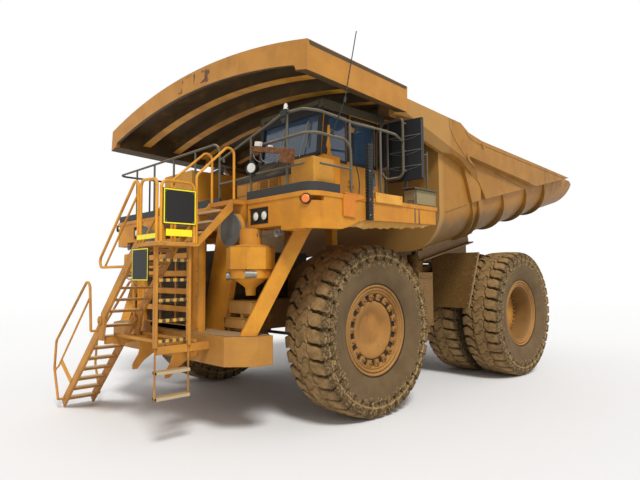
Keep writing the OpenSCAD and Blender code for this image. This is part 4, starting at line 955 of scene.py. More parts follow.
pillar_line = [(-3.53, 4.40), (-3.50, 4.52), (-3.535, 4.60), (-3.50, 4.72), (-3.505, 4.84), (-3.49, 4.945),
               (-3.44, 4.95), (-3.43, 4.82), (-3.445, 4.70), (-3.42, 4.58), (-3.43, 4.50), (-3.36, 4.40)]
pillar_paint = Form().plate(pillar_line, cab_far + 0.006, cab_far + 0.0085, "X")
pillar_paint.piece("pillar_paint", bright_paint, "chassis", slot="cab_paint")

# Handrails: bent tube with welded feet round the deck, with a second, higher tube before the cab that
# carries the beacon, a rusty lamp bracket and a work lamp. Two short cables hang from the bracket.


def rounded(low, high, radius, steps=5):
    """Outline of a rectangle with rounded corners, from its low to its high corner."""
    (a0, b0), (a1, b1) = low, high
    a_low, a_high, b_low, b_high = a0 + radius, a1 - radius, b0 + radius, b1 - radius
    centres = ((a_high, b_high), (a_low, b_high), (a_low, b_low), (a_high, b_low))
    return [(a + radius * math.cos(t), b + radius * math.sin(t)) for quarter, (a, b) in enumerate(centres)
            for t in (math.radians(90) * (quarter + k / steps) for k in range(steps + 1))]


rail_grey = plain_paint("rail_grey", tone(98, 92, 78), tone(156, 142, 116), dust=0.5, rough=0.6)
white_plastic = Finish("white_plastic", Base_Color=tone(214, 212, 204), Roughness=0.4)
rust = Finish("rusty_steel", Specular_IOR_Level=0.25)
rust_patch = rust.noise(rust.place(), 14, 5, 0.65)
rust.set(
    Base_Color=rust.mix(rust_patch.rise(0.35, 0.65), tone(128, 84, 50), tone(92, 58, 36)),
    Roughness=rust_patch * 0.3 + 0.65,
)
rust.bump(rust_patch, 0.5, 0.004)
dress(rail_grey, "deck_rails")
# Lines of the front and the side rail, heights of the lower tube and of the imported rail's top, tube radius
rail_y, rail_x, mid_z, solid_top, rail_r = -4.54, 3.21, 4.06, 4.39, 0.021
foot_high, foot_half, foot_deep = 3.662, 0.045, 0.033
front_rail = Form()
front_rail.pipe([(0.90, rail_y, 4.44), (1.02, rail_y, 4.47), (2.60, rail_y, 4.89), (3.06, rail_y, 4.86),
                 (rail_x, -4.36, 4.83), (rail_x, -3.60, 4.79), (rail_x, -2.98, 4.81), (3.22, -2.60, 4.80),
                 (3.07, -2.19, 4.78)], rail_r, 0.16, 12, 7)
front_rail.pipe([(0.90, rail_y, 4.02), (1.80, rail_y, 4.04)], rail_r * 0.9, 0, 10)
for x, z in ((1.03, 4.47), (1.80, 4.675), (2.69, 4.88)):
    front_rail.bar((x, rail_y, solid_top), (x, rail_y, z), rail_r * 0.95, 12)
front_rail.bar((rail_x, -3.72, 4.40), (rail_x, -3.72, 4.79), rail_r * 0.95, 12)
front_rail.bar((rail_x, -2.98, 3.652), (rail_x, -2.98, 4.81), rail_r * 0.95, 12)
front_rail.bar((1.80, rail_y, mid_z), (3.06, rail_y, mid_z), rail_r * 0.8, 10)
front_rail.bar((rail_x, -4.36, mid_z), (rail_x, -3.72, mid_z), rail_r * 0.8, 10)
front_rail.piece("cab_front_rail", rail_grey, "chassis", slot="dark_paint")
feet = Form()
for x in (-2.30, -1.50, -0.70, 0.10, 0.90, 1.80, 2.69):
    feet.box((x - foot_half, rail_y - foot_deep, on_deck), (x + foot_half, rail_y + foot_deep, foot_high))
    for dx in (-0.03, 0.03):
        feet.bolt((x + dx, rail_y, foot_high), (0, 0, 1), 0.009, 0.010)
for y, s in ((-3.80, -1), (-3.07, -1), (-3.70, 1), (-2.98, 1)):
    x = s * rail_x
    feet.box((x - foot_deep, y - foot_half, on_deck), (x + foot_deep, y + foot_half, foot_high))
feet.piece("rail_feet", rail_grey, "chassis", slot="dark_paint")
beacon_x, beacon_z = 2.67, 4.90
tongue = [(-0.075, -0.10), (0.075, -0.10), (0.02, -0.19), (-0.02, -0.19)]
beacon_dome = [(0.0, 0.040), (0.012, 0.042), (0.020, 0.036), (0.075, 0.030), (0.098, 0.020), (0.104, 0.0015)]
clamp = Form()
clamp.box((beacon_x - 0.07, -4.60, beacon_z - 0.085), (beacon_x + 0.07, -4.585, beacon_z + 0.02))
clamp.box((beacon_x - 0.045, -4.60, beacon_z + 0.012), (beacon_x + 0.045, -4.49, beacon_z + 0.024))
clamp.plate([(beacon_x + x, beacon_z + z) for x, z in tongue], -4.598, -4.586)
clamp.piece("beacon_bracket", board_black, "chassis", 0.003, slot="dark_paint")
beacon = Form().turned(beacon_dome, 28, stand(beacon_x, -4.545, beacon_z + 0.024, -90, "Y"))
beacon.piece("beacon", white_plastic, "chassis", slot="lamp")
# The rusty bracket slopes along the rail. It and its lamps are given in its own axes.
bracket_place = stand(1.90, -4.60, 4.46, 12.5, "Y")
bracket = Form().box((0.0, -0.035, -0.040), (1.02, 0.035, 0.040), bracket_place)
bracket.box((0.78, -0.045, -0.17), (1.02, 0.045, -0.04), bracket_place)
for x in (0.12, 0.78):
    bracket.box((x, 0.02, -0.05), (x + 0.05, 0.085, 0.05), bracket_place)
bracket.piece("rusty_lamp_bracket", rust, "chassis", 0.006, slot="dark_paint")
bracket_lamps = Form()
for x, wide, high in ((0.09, 0.135, 0.075), (0.44, 0.06, 0.03)):
    bracket_lamps.box((x, -0.030, 0.046), (x + wide, 0.030, 0.046 + high), bracket_place)
bracket_lamps.piece("bracket_lamps", white_plastic, "chassis", 0.008, slot="lamp")
work_shell = [(-0.13, 0.03), (-0.12, 0.075), (-0.02, 0.10), (0.0, 0.105), (0.012, 0.10), (0.0, 0.088),
              (-0.006, 0.0015)]
work_face = [(-0.004, 0.084), (-0.001, 0.080), (0.001, 0.05), (0.002, 0.0015)]
work_place = stand(1.88, -4.60, 4.16, -70)
work_lamp = Form().turned(work_shell, 28, work_place)
work_lamp.bar((1.88, -4.55, 4.16), (1.88, rail_y, 4.40), 0.012, 8)
work_lamp.box((1.83, -4.565, 4.03), (1.93, rail_y, 4.07))
work_lamp.piece("work_lamp", board_black, "chassis", slot="dark_paint")
lamp_face = Form().plate(rounded((-0.045, -0.02), (0.005, 0.04), 0.010), 0.0, 0.006, "X", work_place)
lamp_face.turned(work_face, 32, work_place)
lamp_face.piece("work_lamp_face", white_plastic, "chassis", slot="lamp")


def hang_cord(name, finish, points, radius, steps=8):
    """A free cable from the first point to the last, both on the object, through a smooth curve."""
    points = [Vector(p) for p in points]
    ends = [points[0] * 2 - points[1]] + points + [points[-1] * 2 - points[-2]]
    way = []
    for a, b, c, d in zip(ends, ends[1:], ends[2:], ends[3:]):
        for k in range(steps):
            t = k / steps
            straight = 2 * b + (c - a) * t
            bent = (2 * a - 5 * b + 4 * c - d) * t * t
            twisted = (3 * b - a - 3 * c + d) * t**3
            way.append(0.5 * (straight + bent + twisted))
    way.append(points[-1])
    made = Form().pipe(way, radius, 0, 8).piece(name, finish, "chassis", slot="trim")
    length = sum((b - a).length for a, b in zip(way, way[1:]))


short_way = [(1.95, -4.568, 4.485), (2.03, -4.655, 4.30), (2.20, -4.655, 4.19), (2.38, -4.655, 4.26),
             (2.50, -4.568, 4.485)]
long_way = [(2.10, -4.568, 4.485), (2.22, -4.66, 4.24), (2.44, -4.66, 4.14), (2.62, -4.65, 4.22),
            (2.66, -4.566, 4.40)]
bracket_cable_r = 0.006
hang_cord("bracket_cable_short", rail_grey, short_way, bracket_cable_r)
hang_cord("bracket_cable_long", rail_grey, long_way, bracket_cable_r)

# Mirrors: ribbed black mirror housings in bent tube guards on both sides of the deck, each with a small
# second mirror in its own tube frame before it. Behind each stands a pipe that braces the guard.

mirror_black = plain_paint("mirror_black", tone(26, 28, 32), tone(96, 90, 76), dust=0.15, rough=0.45)
mirror_glass = Finish("mirror_glass", Base_Color=tone(200, 204, 206), Metallic=1.0, Roughness=0.08)
dress(mirror_black, "mirrors")
mirror_x, mirror_y, mirror_low, mirror_high, mirror_turn = 3.035, -2.055, 4.10, 5.185, 9
rib_half, rib_out, rib_in = 0.325, -0.040, -0.0305
# Guard: its plane, its inner upright, its outer one and the post's line below it
guard_y, guard_x, guard_out, guard_foot, guard_top = -2.165, 2.56, 3.06, -2.03, 5.20
guard_line = [(guard_x, 5.02), (guard_x, guard_top), (2.74, guard_top), (guard_out, guard_top),
              (guard_out, 4.23), (2.98, 4.15), (2.70, 4.15), (guard_x, 4.28), (guard_x, 4.46)]
# Tubes of the guard: from, to, radius and sides, for the left side
guard_bars = (
    ((guard_out, guard_y, 4.27), (guard_out, -2.07, 4.27), 0.018, 10),
    ((guard_out, guard_y, 5.12), (guard_out, -2.07, 5.12), 0.018, 10),
    ((guard_out, guard_y, 4.62), (guard_out, -2.085, 4.62), 0.014, 8),
)
post_line = [(guard_y, 4.46), (-2.10, 4.46), (guard_foot, 4.30), (guard_foot, 3.652)]
brace_bars = (
    ((guard_x, guard_y, 5.02), (guard_x, guard_foot, 4.98), 0.018, 10),
    ((guard_x, guard_foot, 4.98), (guard_x, guard_foot, 4.28), 0.02, 10),
    ((3.20, -1.64, 3.652), (3.20, -1.64, 4.66), 0.018, 10),
    ((3.20, -1.64, 4.60), (3.10, -1.97, 4.60), 0.012, 8),
)
small_near, small_far, small_low, small_high = 2.60, 2.78, 4.36, 4.98
loop_y, loop_far = -2.29, 2.82
small_loop = [(guard_x, 4.42), (guard_x, 5.03), (loop_far, 5.03), (loop_far, 4.32), (guard_x, 4.32),
              (guard_x, 4.44)]
for side, s in (("left", 1), ("right", -1)):
    at = stand(s * mirror_x, mirror_y, 0, s * mirror_turn)
    ribs, guard, small, small_frame = Form(), Form(), Form(), Form()
    for k in range(1, 4):
        z = mirror_low + (mirror_high - mirror_low) * k / 4 - 0.02
        ribs.box((-rib_half, rib_out, z - 0.007), (rib_half, rib_in, z + 0.007), at)
        bow = [(-0.30 + 0.06 * i, z - 0.012 - 0.055 * math.sin(math.pi * i / 10)) for i in range(11)]
        ribs.pipe([at @ Vector((x, -0.036, down)) for x, down in bow], 0.005, 0, 6)
    for x in (-0.335, 0.322):
        ribs.box((x, -0.038, mirror_low + 0.02), (x + 0.013, rib_in, mirror_high - 0.02), at)
    ribs.piece(f"mirror_ribs_{side}", lid_metal, "chassis", 0.002, slot="dark_paint")
    pane = rounded((-0.315, mirror_low + 0.03), (0.315, mirror_high - 0.03), 0.04)
    reflector = Form().plate(pane, 0.0305, 0.034, at=at)
    reflector.piece(f"mirror_glass_{side}", mirror_glass, "chassis", 0.001, slot="glass")
    guard.pipe([(s * x, guard_y, z) for x, z in guard_line], 0.026, 0.09, 12, 7)
    for a, b, radius, sides in guard_bars:
        guard.bar((s * a[0], *a[1:]), (s * b[0], *b[1:]), radius, sides)
    guard.pipe([(s * guard_x, y, z) for y, z in post_line], 0.02, 0.04, 10)
    for a, b, radius, sides in brace_bars:
        guard.bar((s * a[0], *a[1:]), (s * b[0], *b[1:]), radius, sides)
    guard.piece(f"mirror_guard_{side}", rail_grey, "chassis", slot="dark_paint")
    x0, x1 = sorted((s * small_near, s * small_far))
    small.plate(rounded((x0, small_low), (x1, small_high), 0.03), -2.296, -2.274)
    small_rim = rounded((x0 + 0.02, small_low + 0.02), (x1 - 0.02, small_high - 0.02), 0.025)
    small.plate(small_rim, -2.302, -2.296)
    small.piece(f"small_mirror_{side}", mirror_black, "chassis", 0.012, slot="dark_paint")
    small_frame.pipe([(s * x, loop_y, z) for x, z in small_loop], 0.013, 0.05, 10)
    for z in (4.50, 4.90):
        small_frame.bar((s * guard_x, loop_y, z), (s * guard_x, guard_y, z), 0.011, 8)
        small_frame.bar((s * small_far, -2.287, z), (s * loop_far, -2.287, z), 0.010, 8)
    small_frame.piece(f"small_mirror_frame_{side}", rail_grey, "chassis", slot="dark_paint")

# Gear beside the cab: a plastic cable carrier up the cab's front corner, a folded orange bracket, a fuse box
# and a work-light box with its lid on pipe legs, all bolted to the deck's left edge.

orange = dusty_paint("bracket_orange", tone(216, 132, 34), tone(200, 114, 28), dust=0.15, stain=0.2,
                     chips=0.1)
fuse_paint = dusty_paint("fuse_paint", tone(228, 168, 66), tone(214, 150, 54), dust=0.4, stain=0.15)
box_beige = plain_paint("box_beige", tone(150, 134, 96), DUST, dust=0.4, rough=0.7)
dress(board_black, "mast")
deck_side, link_count, link_low, link_pitch = 3.2715, 24, 3.29, 0.0497
carrier, pins = Form(), Form()
for k in range(link_count):
    z = link_low + link_pitch * k
    carrier.box((3.272, -3.445, z), (3.345, -3.335, z + 0.044))
    carrier.box((3.285, -3.340, z + 0.012), (3.332, -3.318, z + 0.034))
carrier.box((3.284, -3.43, 3.285), (3.334, -3.35, 4.485))
carrier.piece("cable_carrier", board_black, "chassis", 0.004, slot="dark_paint")
for z in (3.36, 3.60, 4.05):
    pins.bolt((3.345, -3.42, z), (1, 0, 0), 0.011, 0.012)
pins.piece("carrier_bolts", lamp_shell, "chassis", slot="chrome_rod")
front_leaf = [(-3.965, 3.315), (-3.965, 3.58), (-3.93, 3.645), (-3.70, 3.655), (-3.70, 3.30)]
top_leaf = [(3.12, -3.90), (3.12, -3.48), (3.27, -3.50), (3.30, -3.70), (3.30, -3.93)]
rear_leaf = [(-3.70, 3.56), (-3.70, 3.655), (-3.47, 3.655), (-3.47, 3.61)]
folded = Form().plate(front_leaf, deck_side, 3.30, "X")
folded.plate(top_leaf, on_deck, 3.672, "Z")
folded.plate(rear_leaf, deck_side, 3.29, "X")
folded.piece("folded_bracket", orange, "chassis", 0.005, slot="cab_paint")
fuse_box = Form().box((3.10, -3.22, on_deck), (3.285, -2.53, 3.742))
fuse_box.box((deck_side, -3.22, 3.585), (3.30, -2.53, 3.742))
for y in (-3.17, -2.58):
    fuse_box.bolt((3.30, y, 3.71), (1, 0, 0), 0.010, 0.009)
fuse_box.piece("fuse_box", fuse_paint, "chassis", 0.006, slot="cab_paint")
lid_line = [(2.98, 3.93), (2.98, 3.972), (3.27, 3.958), (3.275, 3.925), (3.262, 3.925), (3.258, 3.944),
            (2.99, 3.944)]
leg_line = [(3.20, 3.67), (3.20, 3.655), (3.262, 3.60), (3.275, 3.30)]
light_box = Form().plate(rounded((-2.08, 3.66), (-1.43, 3.93), 0.02), 3.00, 3.236, "X")
for y0, z0, y1, z1 in ((-2.07, 3.668, -1.44, 3.690), (-2.07, 3.900, -1.44, 3.922),
                       (-1.462, 3.69, -1.44, 3.90)):
    light_box.box((3.236, y0, z0), (3.246, y1, z1))
light_box.piece("work_light_box", box_beige, "chassis", 0.008, slot="body_paint")
light_lid = Form().plate(lid_line, -2.13, -1.38)
light_lid.box((3.246, -2.08, 3.68), (3.250, -2.045, 3.92))
light_lid.piece("work_light_lid", roof_olive, "chassis", 0.003, slot="muddy_paint")
light_legs = Form()
for y in (-2.02, -1.49):
    light_legs.pipe([(x, y, z) for x, z in leg_line], 0.014, 0.03, 8)
light_legs.bar((3.262, -2.14, 3.74), (3.262, -2.14, 3.33), 0.020, 10)
light_legs.bar((3.262, -2.14, 3.72), (3.10, -2.10, 3.74), 0.014, 8)
light_legs.piece("work_light_legs", rail_grey, "chassis", slot="dark_paint")
hang_cord("mirror_cable", board_black, [(3.236, -3.70, 4.32), (3.25, -3.62, 4.10), (3.25, -3.56, 3.88),
                                        (3.24, -3.56, 3.665)], 0.008)

# Tanks and mud flaps: a fuel tank with straps on the right, a hydraulic tank with a sight recess on the
# left, and stiff rock guards before the rear wheels, all caked in mud.

muddy_steel = dusty_paint("muddy_steel", tone(150, 112, 60), tone(128, 92, 50), dust=0.7, mud=1.05,
                          stain=0.4, chips=0.1)
flap_mud = dusty_paint("flap_mud", tone(142, 106, 60), tone(122, 90, 50), dust=0.45, mud=0.9, stain=0.5,
                       chips=0.0)
flap_pale = plain_paint("flap_edge_pale", tone(168, 142, 98), DUST, dust=0.6, rough=0.8)
dress(muddy_steel, "hydraulic_tank")
dress(flap_mud, "rock_guards")
flap_line = [(2.300, 1.662), (2.322, 1.662), (2.612, 2.928), (2.590, 2.928)]
flap_front, flap_bolts = 1.2185, 6
flap_edge = Form()
for s in (-1, 1):
    flap_edge.plate([(s * x, z) for x, z in flap_line], flap_front, 1.2505)
    for k in range(flap_bolts):
        t = (k + 0.5) / flap_bolts
        x, z = 2.27 + 0.29 * t, 1.66 + 1.27 * t
        flap_edge.bolt((s * x, flap_front + 0.001, z), (0, -1, 0), 0.012, 0.010)
flap_edge.piece("flap_edges", flap_pale, "chassis", slot="muddy_paint")
tank_side, strap_face, sight_y, sight_z = 2.2005, 2.212, -0.285, 2.02
filler = [(0.0, 0.055), (0.0, 0.075), (0.05, 0.075), (0.06, 0.06), (0.06, 0.0015)]
tank_gear = Form()
sight = [(sight_y + 0.11 * math.cos(t), sight_z + 0.17 * math.sin(t)) for t in all_round(32)]
tank_gear.plate(sight, tank_side, 2.209, "X")
for z in (1.42, 2.36):
    tank_gear.box((tank_side, -0.50, z), (strap_face, -0.07, z + 0.04))
for y in (-0.47, -0.10):
    for z in (1.44, 2.38):
        tank_gear.bolt((strap_face, y, z), (1, 0, 0), 0.012, 0.010)
tank_gear.turned(filler, 24, stand(2.02, -0.42, 2.48, -90, "Y"))
for y in (-0.36, 0.30):
    tank_gear.box((-2.412, y, 1.24), (-2.4002, y + 0.09, 2.36))
tank_gear.piece("tank_fittings", muddy_steel, "chassis", 0.003, slot="muddy_paint")

# Access stair: a welded stair across the front with a lower flight that folds, punched steel treads with
# worn bright edges, and curved arms that carry it from the bumper. Its bright yellow rails have mid tubes.

stair_paint = dusty_paint("stair_paint", tone(204, 142, 48), tone(180, 118, 40), stain=0.4, chips=0.6)
rail_yellow = dusty_paint("rail_yellow", tone(232, 164, 44), tone(214, 142, 34), dust=0.3, stain=0.2,
                          chips=0.6)
worn_edge = plain_paint("worn_tread", tone(198, 180, 146), tone(160, 130, 88), rough=0.5, metal=0.3)
punched = Finish("punched_tread", Roughness=0.6)
hole_grid = {"Vector": punched.place(), "Scale": 34, "Randomness": 0.0}
holes = punched.node("ShaderNodeTexVoronoi", {"feature": "F1"}, hole_grid, "Distance")
hole = 1 - holes.rise(0.24, 0.34)
punched.set(Base_Color=punched.mix(hole * 0.6, tone(232, 206, 158), tone(84, 66, 44)))
punched.bump(1 - hole, 0.8, 0.006)
dress(stair_paint, "access_stair", "lower_stair")
dress(rail_yellow, "stair_rails")
stair_in, stair_out = -5.45, -6.10
foot, hinge, head = (-2.03, 0.08), (-0.23, 1.72), (1.08, 2.94)
tread_half, tread_nose, sheet_gap, sheet_high, nose_high = 0.104, 0.116, 0.0003, 0.006, 0.008


def flight_treads(low, high, count, inset, sheet, edges):
    """Punched covers and worn front edges on the steps between two points of a flight."""
    for k in range(count):
        t = (k + 0.5) / count
        x, z = low[0] + (high[0] - low[0]) * t, low[1] + (high[1] - low[1]) * t + 0.015
        y0, y1 = stair_out + inset, stair_in - inset
        sheet.box((x - tread_half, y0, z + sheet_gap), (x + tread_half, y1, z + sheet_high))
        edges.box((x - tread_nose, y0, z - 0.028), (x - tread_half, y1, z + nose_high))


upper_sheet, upper_edges, lower_sheet, lower_edges = Form(), Form(), Form(), Form()
flight_treads((hinge[0] + 0.06, hinge[1] + 0.056), head, 6, 0.045, upper_sheet, upper_edges)
flight_treads(foot, hinge, 8, 0.086, lower_sheet, lower_edges)
# The landing, and the three steps that lead from it back to the deck
landing_z, landing_out, landing_in = 2.930, stair_out + 0.01, stair_in - 0.01
upper_sheet.box((1.05, landing_out, landing_z + sheet_gap), (1.71, landing_in, landing_z + sheet_high))
for k in range(1, 4):
    y, z = stair_in + 0.16 * k, landing_z + 0.18 * k
    upper_sheet.box((1.082, y - 0.085, z + sheet_gap), (1.68, y + 0.085, z + sheet_high))
    upper_edges.box((1.082, y - 0.100, z - 0.026), (1.68, y - 0.0905, z + nose_high))
upper_sheet.piece("upper_treads", punched, "chassis", slot="body_paint")
upper_edges.piece("upper_tread_edges", worn_edge, "chassis", 0.002, slot="body_paint")
lower_sheet.piece("lower_treads", punched, "lower_stair", slot="body_paint")
lower_edges.piece("lower_tread_edges", worn_edge, "lower_stair", 0.002, slot="body_paint")
hinge_boss = [(0.0, 0.05), (0.0, 0.075), (0.016, 0.078), (0.022, 0.070), (0.022, 0.034), (0.036, 0.030),
              (0.038, 0.0015)]
small_boss = [(0.0, 0.03), (0.0, 0.04), (0.010, 0.04), (0.012, 0.0015)]
boss = Form()
for y, s in ((stair_out, -1), (stair_in, 1)):
    boss.turned(hinge_boss, 28, stand(hinge[0], y, hinge[1], 90 * s))
    boss.turned(small_boss, 20, stand(0.62, y, 2.52, 90 * s))
boss.piece("stair_bosses", stair_paint, "chassis", slot="body_paint", angle=30)
# Curved arm from the bumper down to the ladder's foot, and the end plate below the hinge
arm_line = [(-5.152, 1.46), (-5.152, 1.20), (-5.32, 1.16), (-5.50, 1.05), (-5.62, 0.92), (-5.70, 0.92),
            (-5.70, 1.00), (-5.60, 1.16), (-5.56, 1.32), (-5.66, 1.40), (-5.80, 1.43), (-5.80, 1.47)]
end_line = [(-0.42, 1.36), (-0.15, 1.24), (0.10, 1.28), (0.10, 1.46), (-0.05, 1.46), (-0.14, 1.66),
            (-0.30, 1.70)]
carry = Form()
for x in (0.10, 1.20):
    carry.plate(arm_line, x, x + 0.03, "X")
carry.plate(end_line, -5.30, -5.27)
for y in (-5.42, -5.86):
    carry.box((-0.26, y, 1.452), (1.56, y + 0.04, 1.50))
carry.box((-0.20, -5.40, 1.30), (1.50, -5.36, 1.36))
carry.piece("stair_arms", stair_paint, "chassis", 0.005, slot="body_paint")
post = Form().box((-0.205, -5.20, 1.46), (-0.09, -5.152, 2.50))
post.bar((-0.147, -5.20, 2.42), (0.50, -5.42, 2.50), 0.03, 12)
post.piece("stair_post", stair_paint, "chassis", 0.006, slot="body_paint")
mid_r, upper_mid_y, lower_mid_y = 0.017, -6.077, -6.172
lower_mid_line = [(-1.945, 0.20), (-2.165, 0.69), (-1.945, 0.79), (-0.505, 2.10)]
# Section of the flat strap that ties the lower mid rail to the stringer, and its two ends
strap = [(-0.045, -0.005, -0.04), (0.045, -0.005, 0.04), (0.045, 0.005, 0.04), (-0.045, 0.005, -0.04)]
strap_ends = [Vector((-1.82, lower_mid_y, 0.905)), Vector((-1.60, -6.064, 0.54))]
upper_mid = Form().pipe([(-0.145, upper_mid_y, 2.600), (1.055, upper_mid_y, 3.700)], mid_r, 0, 10)
lower_mid = Form().pipe([(x, lower_mid_y, z) for x, z in lower_mid_line], mid_r, 0.12, 10)
lower_mid.loft([[end + Vector(p) for p in strap] for end in strap_ends])
upper_mid.piece("stair_mid_rail_chassis", rail_yellow, "chassis", slot="body_paint")
lower_mid.piece("stair_mid_rail_lower_stair", rail_yellow, "lower_stair", slot="body_paint")

# Ladder and boards of the stair: rungs in worn black and yellow stripes, hanging steps below them, and
# blank black plates with a yellow border that are bolted beside the ladder and on the stair's front.

hazard = Finish("hazard_paint", Roughness=0.55)
hazard_where = hazard.place()
along = hazard.axis(hazard_where, "Y") * 9.0
stripe = along.math("FRACT", along).rise(0.46, 0.54)
wear = hazard.noise(hazard_where, 30, 4, 0.6).rise(0.42, 0.70)
hazard_colour = hazard.mix(stripe, tone(206, 158, 56), tone(46, 42, 34))
hazard.set(Base_Color=hazard.mix(wear * 0.75, hazard_colour, tone(150, 118, 74)))
board_yellow = Finish("board_yellow", Roughness=0.45)
board_wear = board_yellow.noise(board_yellow.place(), 12, 4, 0.6).rise(0.45, 0.8)
board_yellow.set(Base_Color=board_yellow.mix(board_wear * 0.4, tone(246, 232, 28), tone(206, 186, 60)))
dress(board_black, "number_boards")
ladder_out, ladder_in, rung_count, rung_low, rung_pitch, rung_in = -6.04, -5.51, 5, 1.50, 0.29, 0.026
rungs, hanging = Form(), Form()
for k in range(rung_count):
    z = rung_low + rung_pitch * k
    rungs.box((1.536, ladder_out + rung_in, z - 0.003), (1.584, ladder_in - rung_in, z + 0.043))
rungs.piece("ladder_rungs", hazard, "chassis", 0.006, slot="cab_paint")
for z in (0.700, 1.060):
    hanging.box((1.494, ladder_out, z - 0.004), (1.626, ladder_in, z + 0.046))
hanging.piece("hanging_step_rungs", worn_edge, "chassis", 0.006, slot="body_paint")


def blank_board(name, at, wide, high, border=0.018, bolt_in=0.04):
    """A blank black plate with a painted yellow border and a bolt near each corner."""
    face, edge, bolts = Form(), Form(), Form()
    face.box((-wide / 2, -0.004, -high / 2), (wide / 2, 0.0, high / 2), at)
    w, h = wide / 2 - 0.006, high / 2 - 0.006
    w_in, h_in = w - border, h - border
    for x0, z0, x1, z1 in ((-w, -h, w, -h_in), (-w, h_in, w, h), (-w, -h_in, -w_in, h_in),
                           (w_in, -h_in, w, h_in)):
        edge.box((x0, -0.0055, z0), (x1, -0.0035, z1), at)
    out = at.to_3x3() @ Vector((0, -1, 0))
    for x in (bolt_in - w, w - bolt_in):
        for z in (bolt_in - h, h - bolt_in):
            bolts.bolt(at @ Vector((x, -0.004, z)), out, 0.006, 0.006)
    face.piece(f"{name}_face", board_black, "chassis", 0.002, slot="board")
    edge.piece(f"{name}_border", board_yellow, "chassis", slot="cab_paint")
    bolts.piece(f"{name}_bolts", lamp_shell, "chassis", slot="chrome_rod")


board_x = 1.7328
blank_board("upper_board", stand(board_x, -5.765, 3.45, 90), 0.526, 0.516)
blank_board("lower_board", stand(1.21, stair_out - 0.0125, 2.62), 0.516, 0.476, 0.014)
strips = Form().box((1.090, stair_out - 0.010, 2.985), (1.66, stair_out - 0.004, 3.055))
strips.box((board_x - 0.010, -5.98, 3.02), (board_x - 0.004, -5.56, 3.12))
strips.piece("blank_strips", board_yellow, "chassis", 0.002, slot="cab_paint")

# Canopy: an arched steel roof over the cab, part of the tipping body. Its front plate is scarred where old
# paint came off, and its underside carries painted shade between rib flanges painted lighter for light thrown
# up from the ground. Fillets round off the ends of the cut below the front plate, and a dark strip of painted
# shade runs along each side's top edge.

canopy_front, canopy_slope = -4.66, math.radians(2.7)
crown_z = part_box("canopy")[1][2]
canopy_half, canopy_rise, arch_drop = 3.30, 0.42, 0.115
inner_half, rear_inner_half, rear_from = 3.06, 2.66, -2.33
arch_r = (canopy_half**2 + canopy_rise**2) / (2 * canopy_rise)


def painted_arch_shade(f, where, face, patch, colour):
    """Painted shade: dark brown on all that lies within the arch, between its side beams, and on
    faces that look down.
    """
    x, y, z = (f.axis(where, name) for name in "XYZ")
    out = x.math("ABSOLUTE", x)
    height = z + (y - canopy_front) * math.tan(canopy_slope) + (arch_r - crown_z)
    squares = x * x + height * height
    radius = squares.math("SQRT", squares)
    within = (1 - out.rise(inner_half, inner_half + 0.01)) * (1 - y.rise(rear_from, rear_from + 0.02))
    within = within.most(1 - out.rise(rear_inner_half, rear_inner_half + 0.01))
    inside = within * (1 - radius.rise(arch_r - 0.040, arch_r - 0.030)) * (1 - face.rise(0.2, 0.5))
    inside = inside * y.rise(canopy_front + 0.05, canopy_front + 0.06)
    inside = inside.most(1 - face.rise(-0.9, -0.45)) * (0.96 - patch.rise(0.5, 0.8) * 0.3)
    return f.mix(inside, colour, f.mix(patch, tone(58, 48, 34), tone(94, 78, 52)))


# The canopy's paint carries painted shade under its arch and on faces that look down
canopy_paint = dusty_paint("canopy_paint", tone(188, 130, 52), tone(174, 116, 42), dust=0.45, stain=0.3,
                           chips=0.25, over=painted_arch_shade)
# The rib flanges face down; their paint is lighter as painted light thrown up from the ground
rib_bounce_light_paint = dusty_paint("rib_bounce_light_paint", tone(232, 168, 60), tone(204, 142, 46), dust=0.3, stain=0.3)
scar_paint = plain_paint("bare_scar", tone(112, 78, 52), tone(168, 128, 80), dust=0.3, rough=0.7)
lip_shade_paint = plain_paint("canopy_edge_shade", tone(84, 70, 50), tone(120, 98, 66), rough=0.8)
dress(canopy_paint, "canopy")
on_canopy = stand(0, canopy_front, crown_z, -math.degrees(canopy_slope), "X")


def arch_z(x, radius):
    """Height of a bow of this radius about the arch's own centre, in the canopy's axes."""
    return math.sqrt(radius**2 - x * x) - arch_r


def arch_points(radius, half, steps=40):
    """Points (x, z) of the canopy's arch in its own axes."""
    return [(x, arch_z(x, radius)) for x in (half * (2 * k / steps - 1) for k in range(steps + 1))]


rib_deep, flange_wide, arch_gap = 0.290, 0.145, 0.004
flanges = Form()
# Rear edge of each rib, how far its flange stands behind it, half its width and its drop
for end, behind, half, drop in ((0.78, 0.045, inner_half, 0), (1.56, 0.045, inner_half, 0),
                                (2.35, -0.002, inner_half, 0), (3.15, -0.002, rear_inner_half, arch_drop)):
    low = arch_points(arch_r - rib_deep - 0.006, half - arch_gap)
    high = arch_points(arch_r - rib_deep + 0.0005, half - arch_gap)
    near, far = end - flange_wide, end + behind
    rings = []
    for (x0, z0), (x1, z1) in zip(low, high):
        section = ((x0, near, z0), (x0, far, z0), (x1, far, z1), (x1, near, z1))
        rings.append([on_canopy @ Vector((x, y, z - drop)) for x, y, z in section])
    flanges.loft(rings)
flanges.piece("canopy_rib_flanges", rib_bounce_light_paint, "dump_body", slot="body_paint")

front_deep, fillet_wide, fillet_high = 0.370, 0.17, 0.085
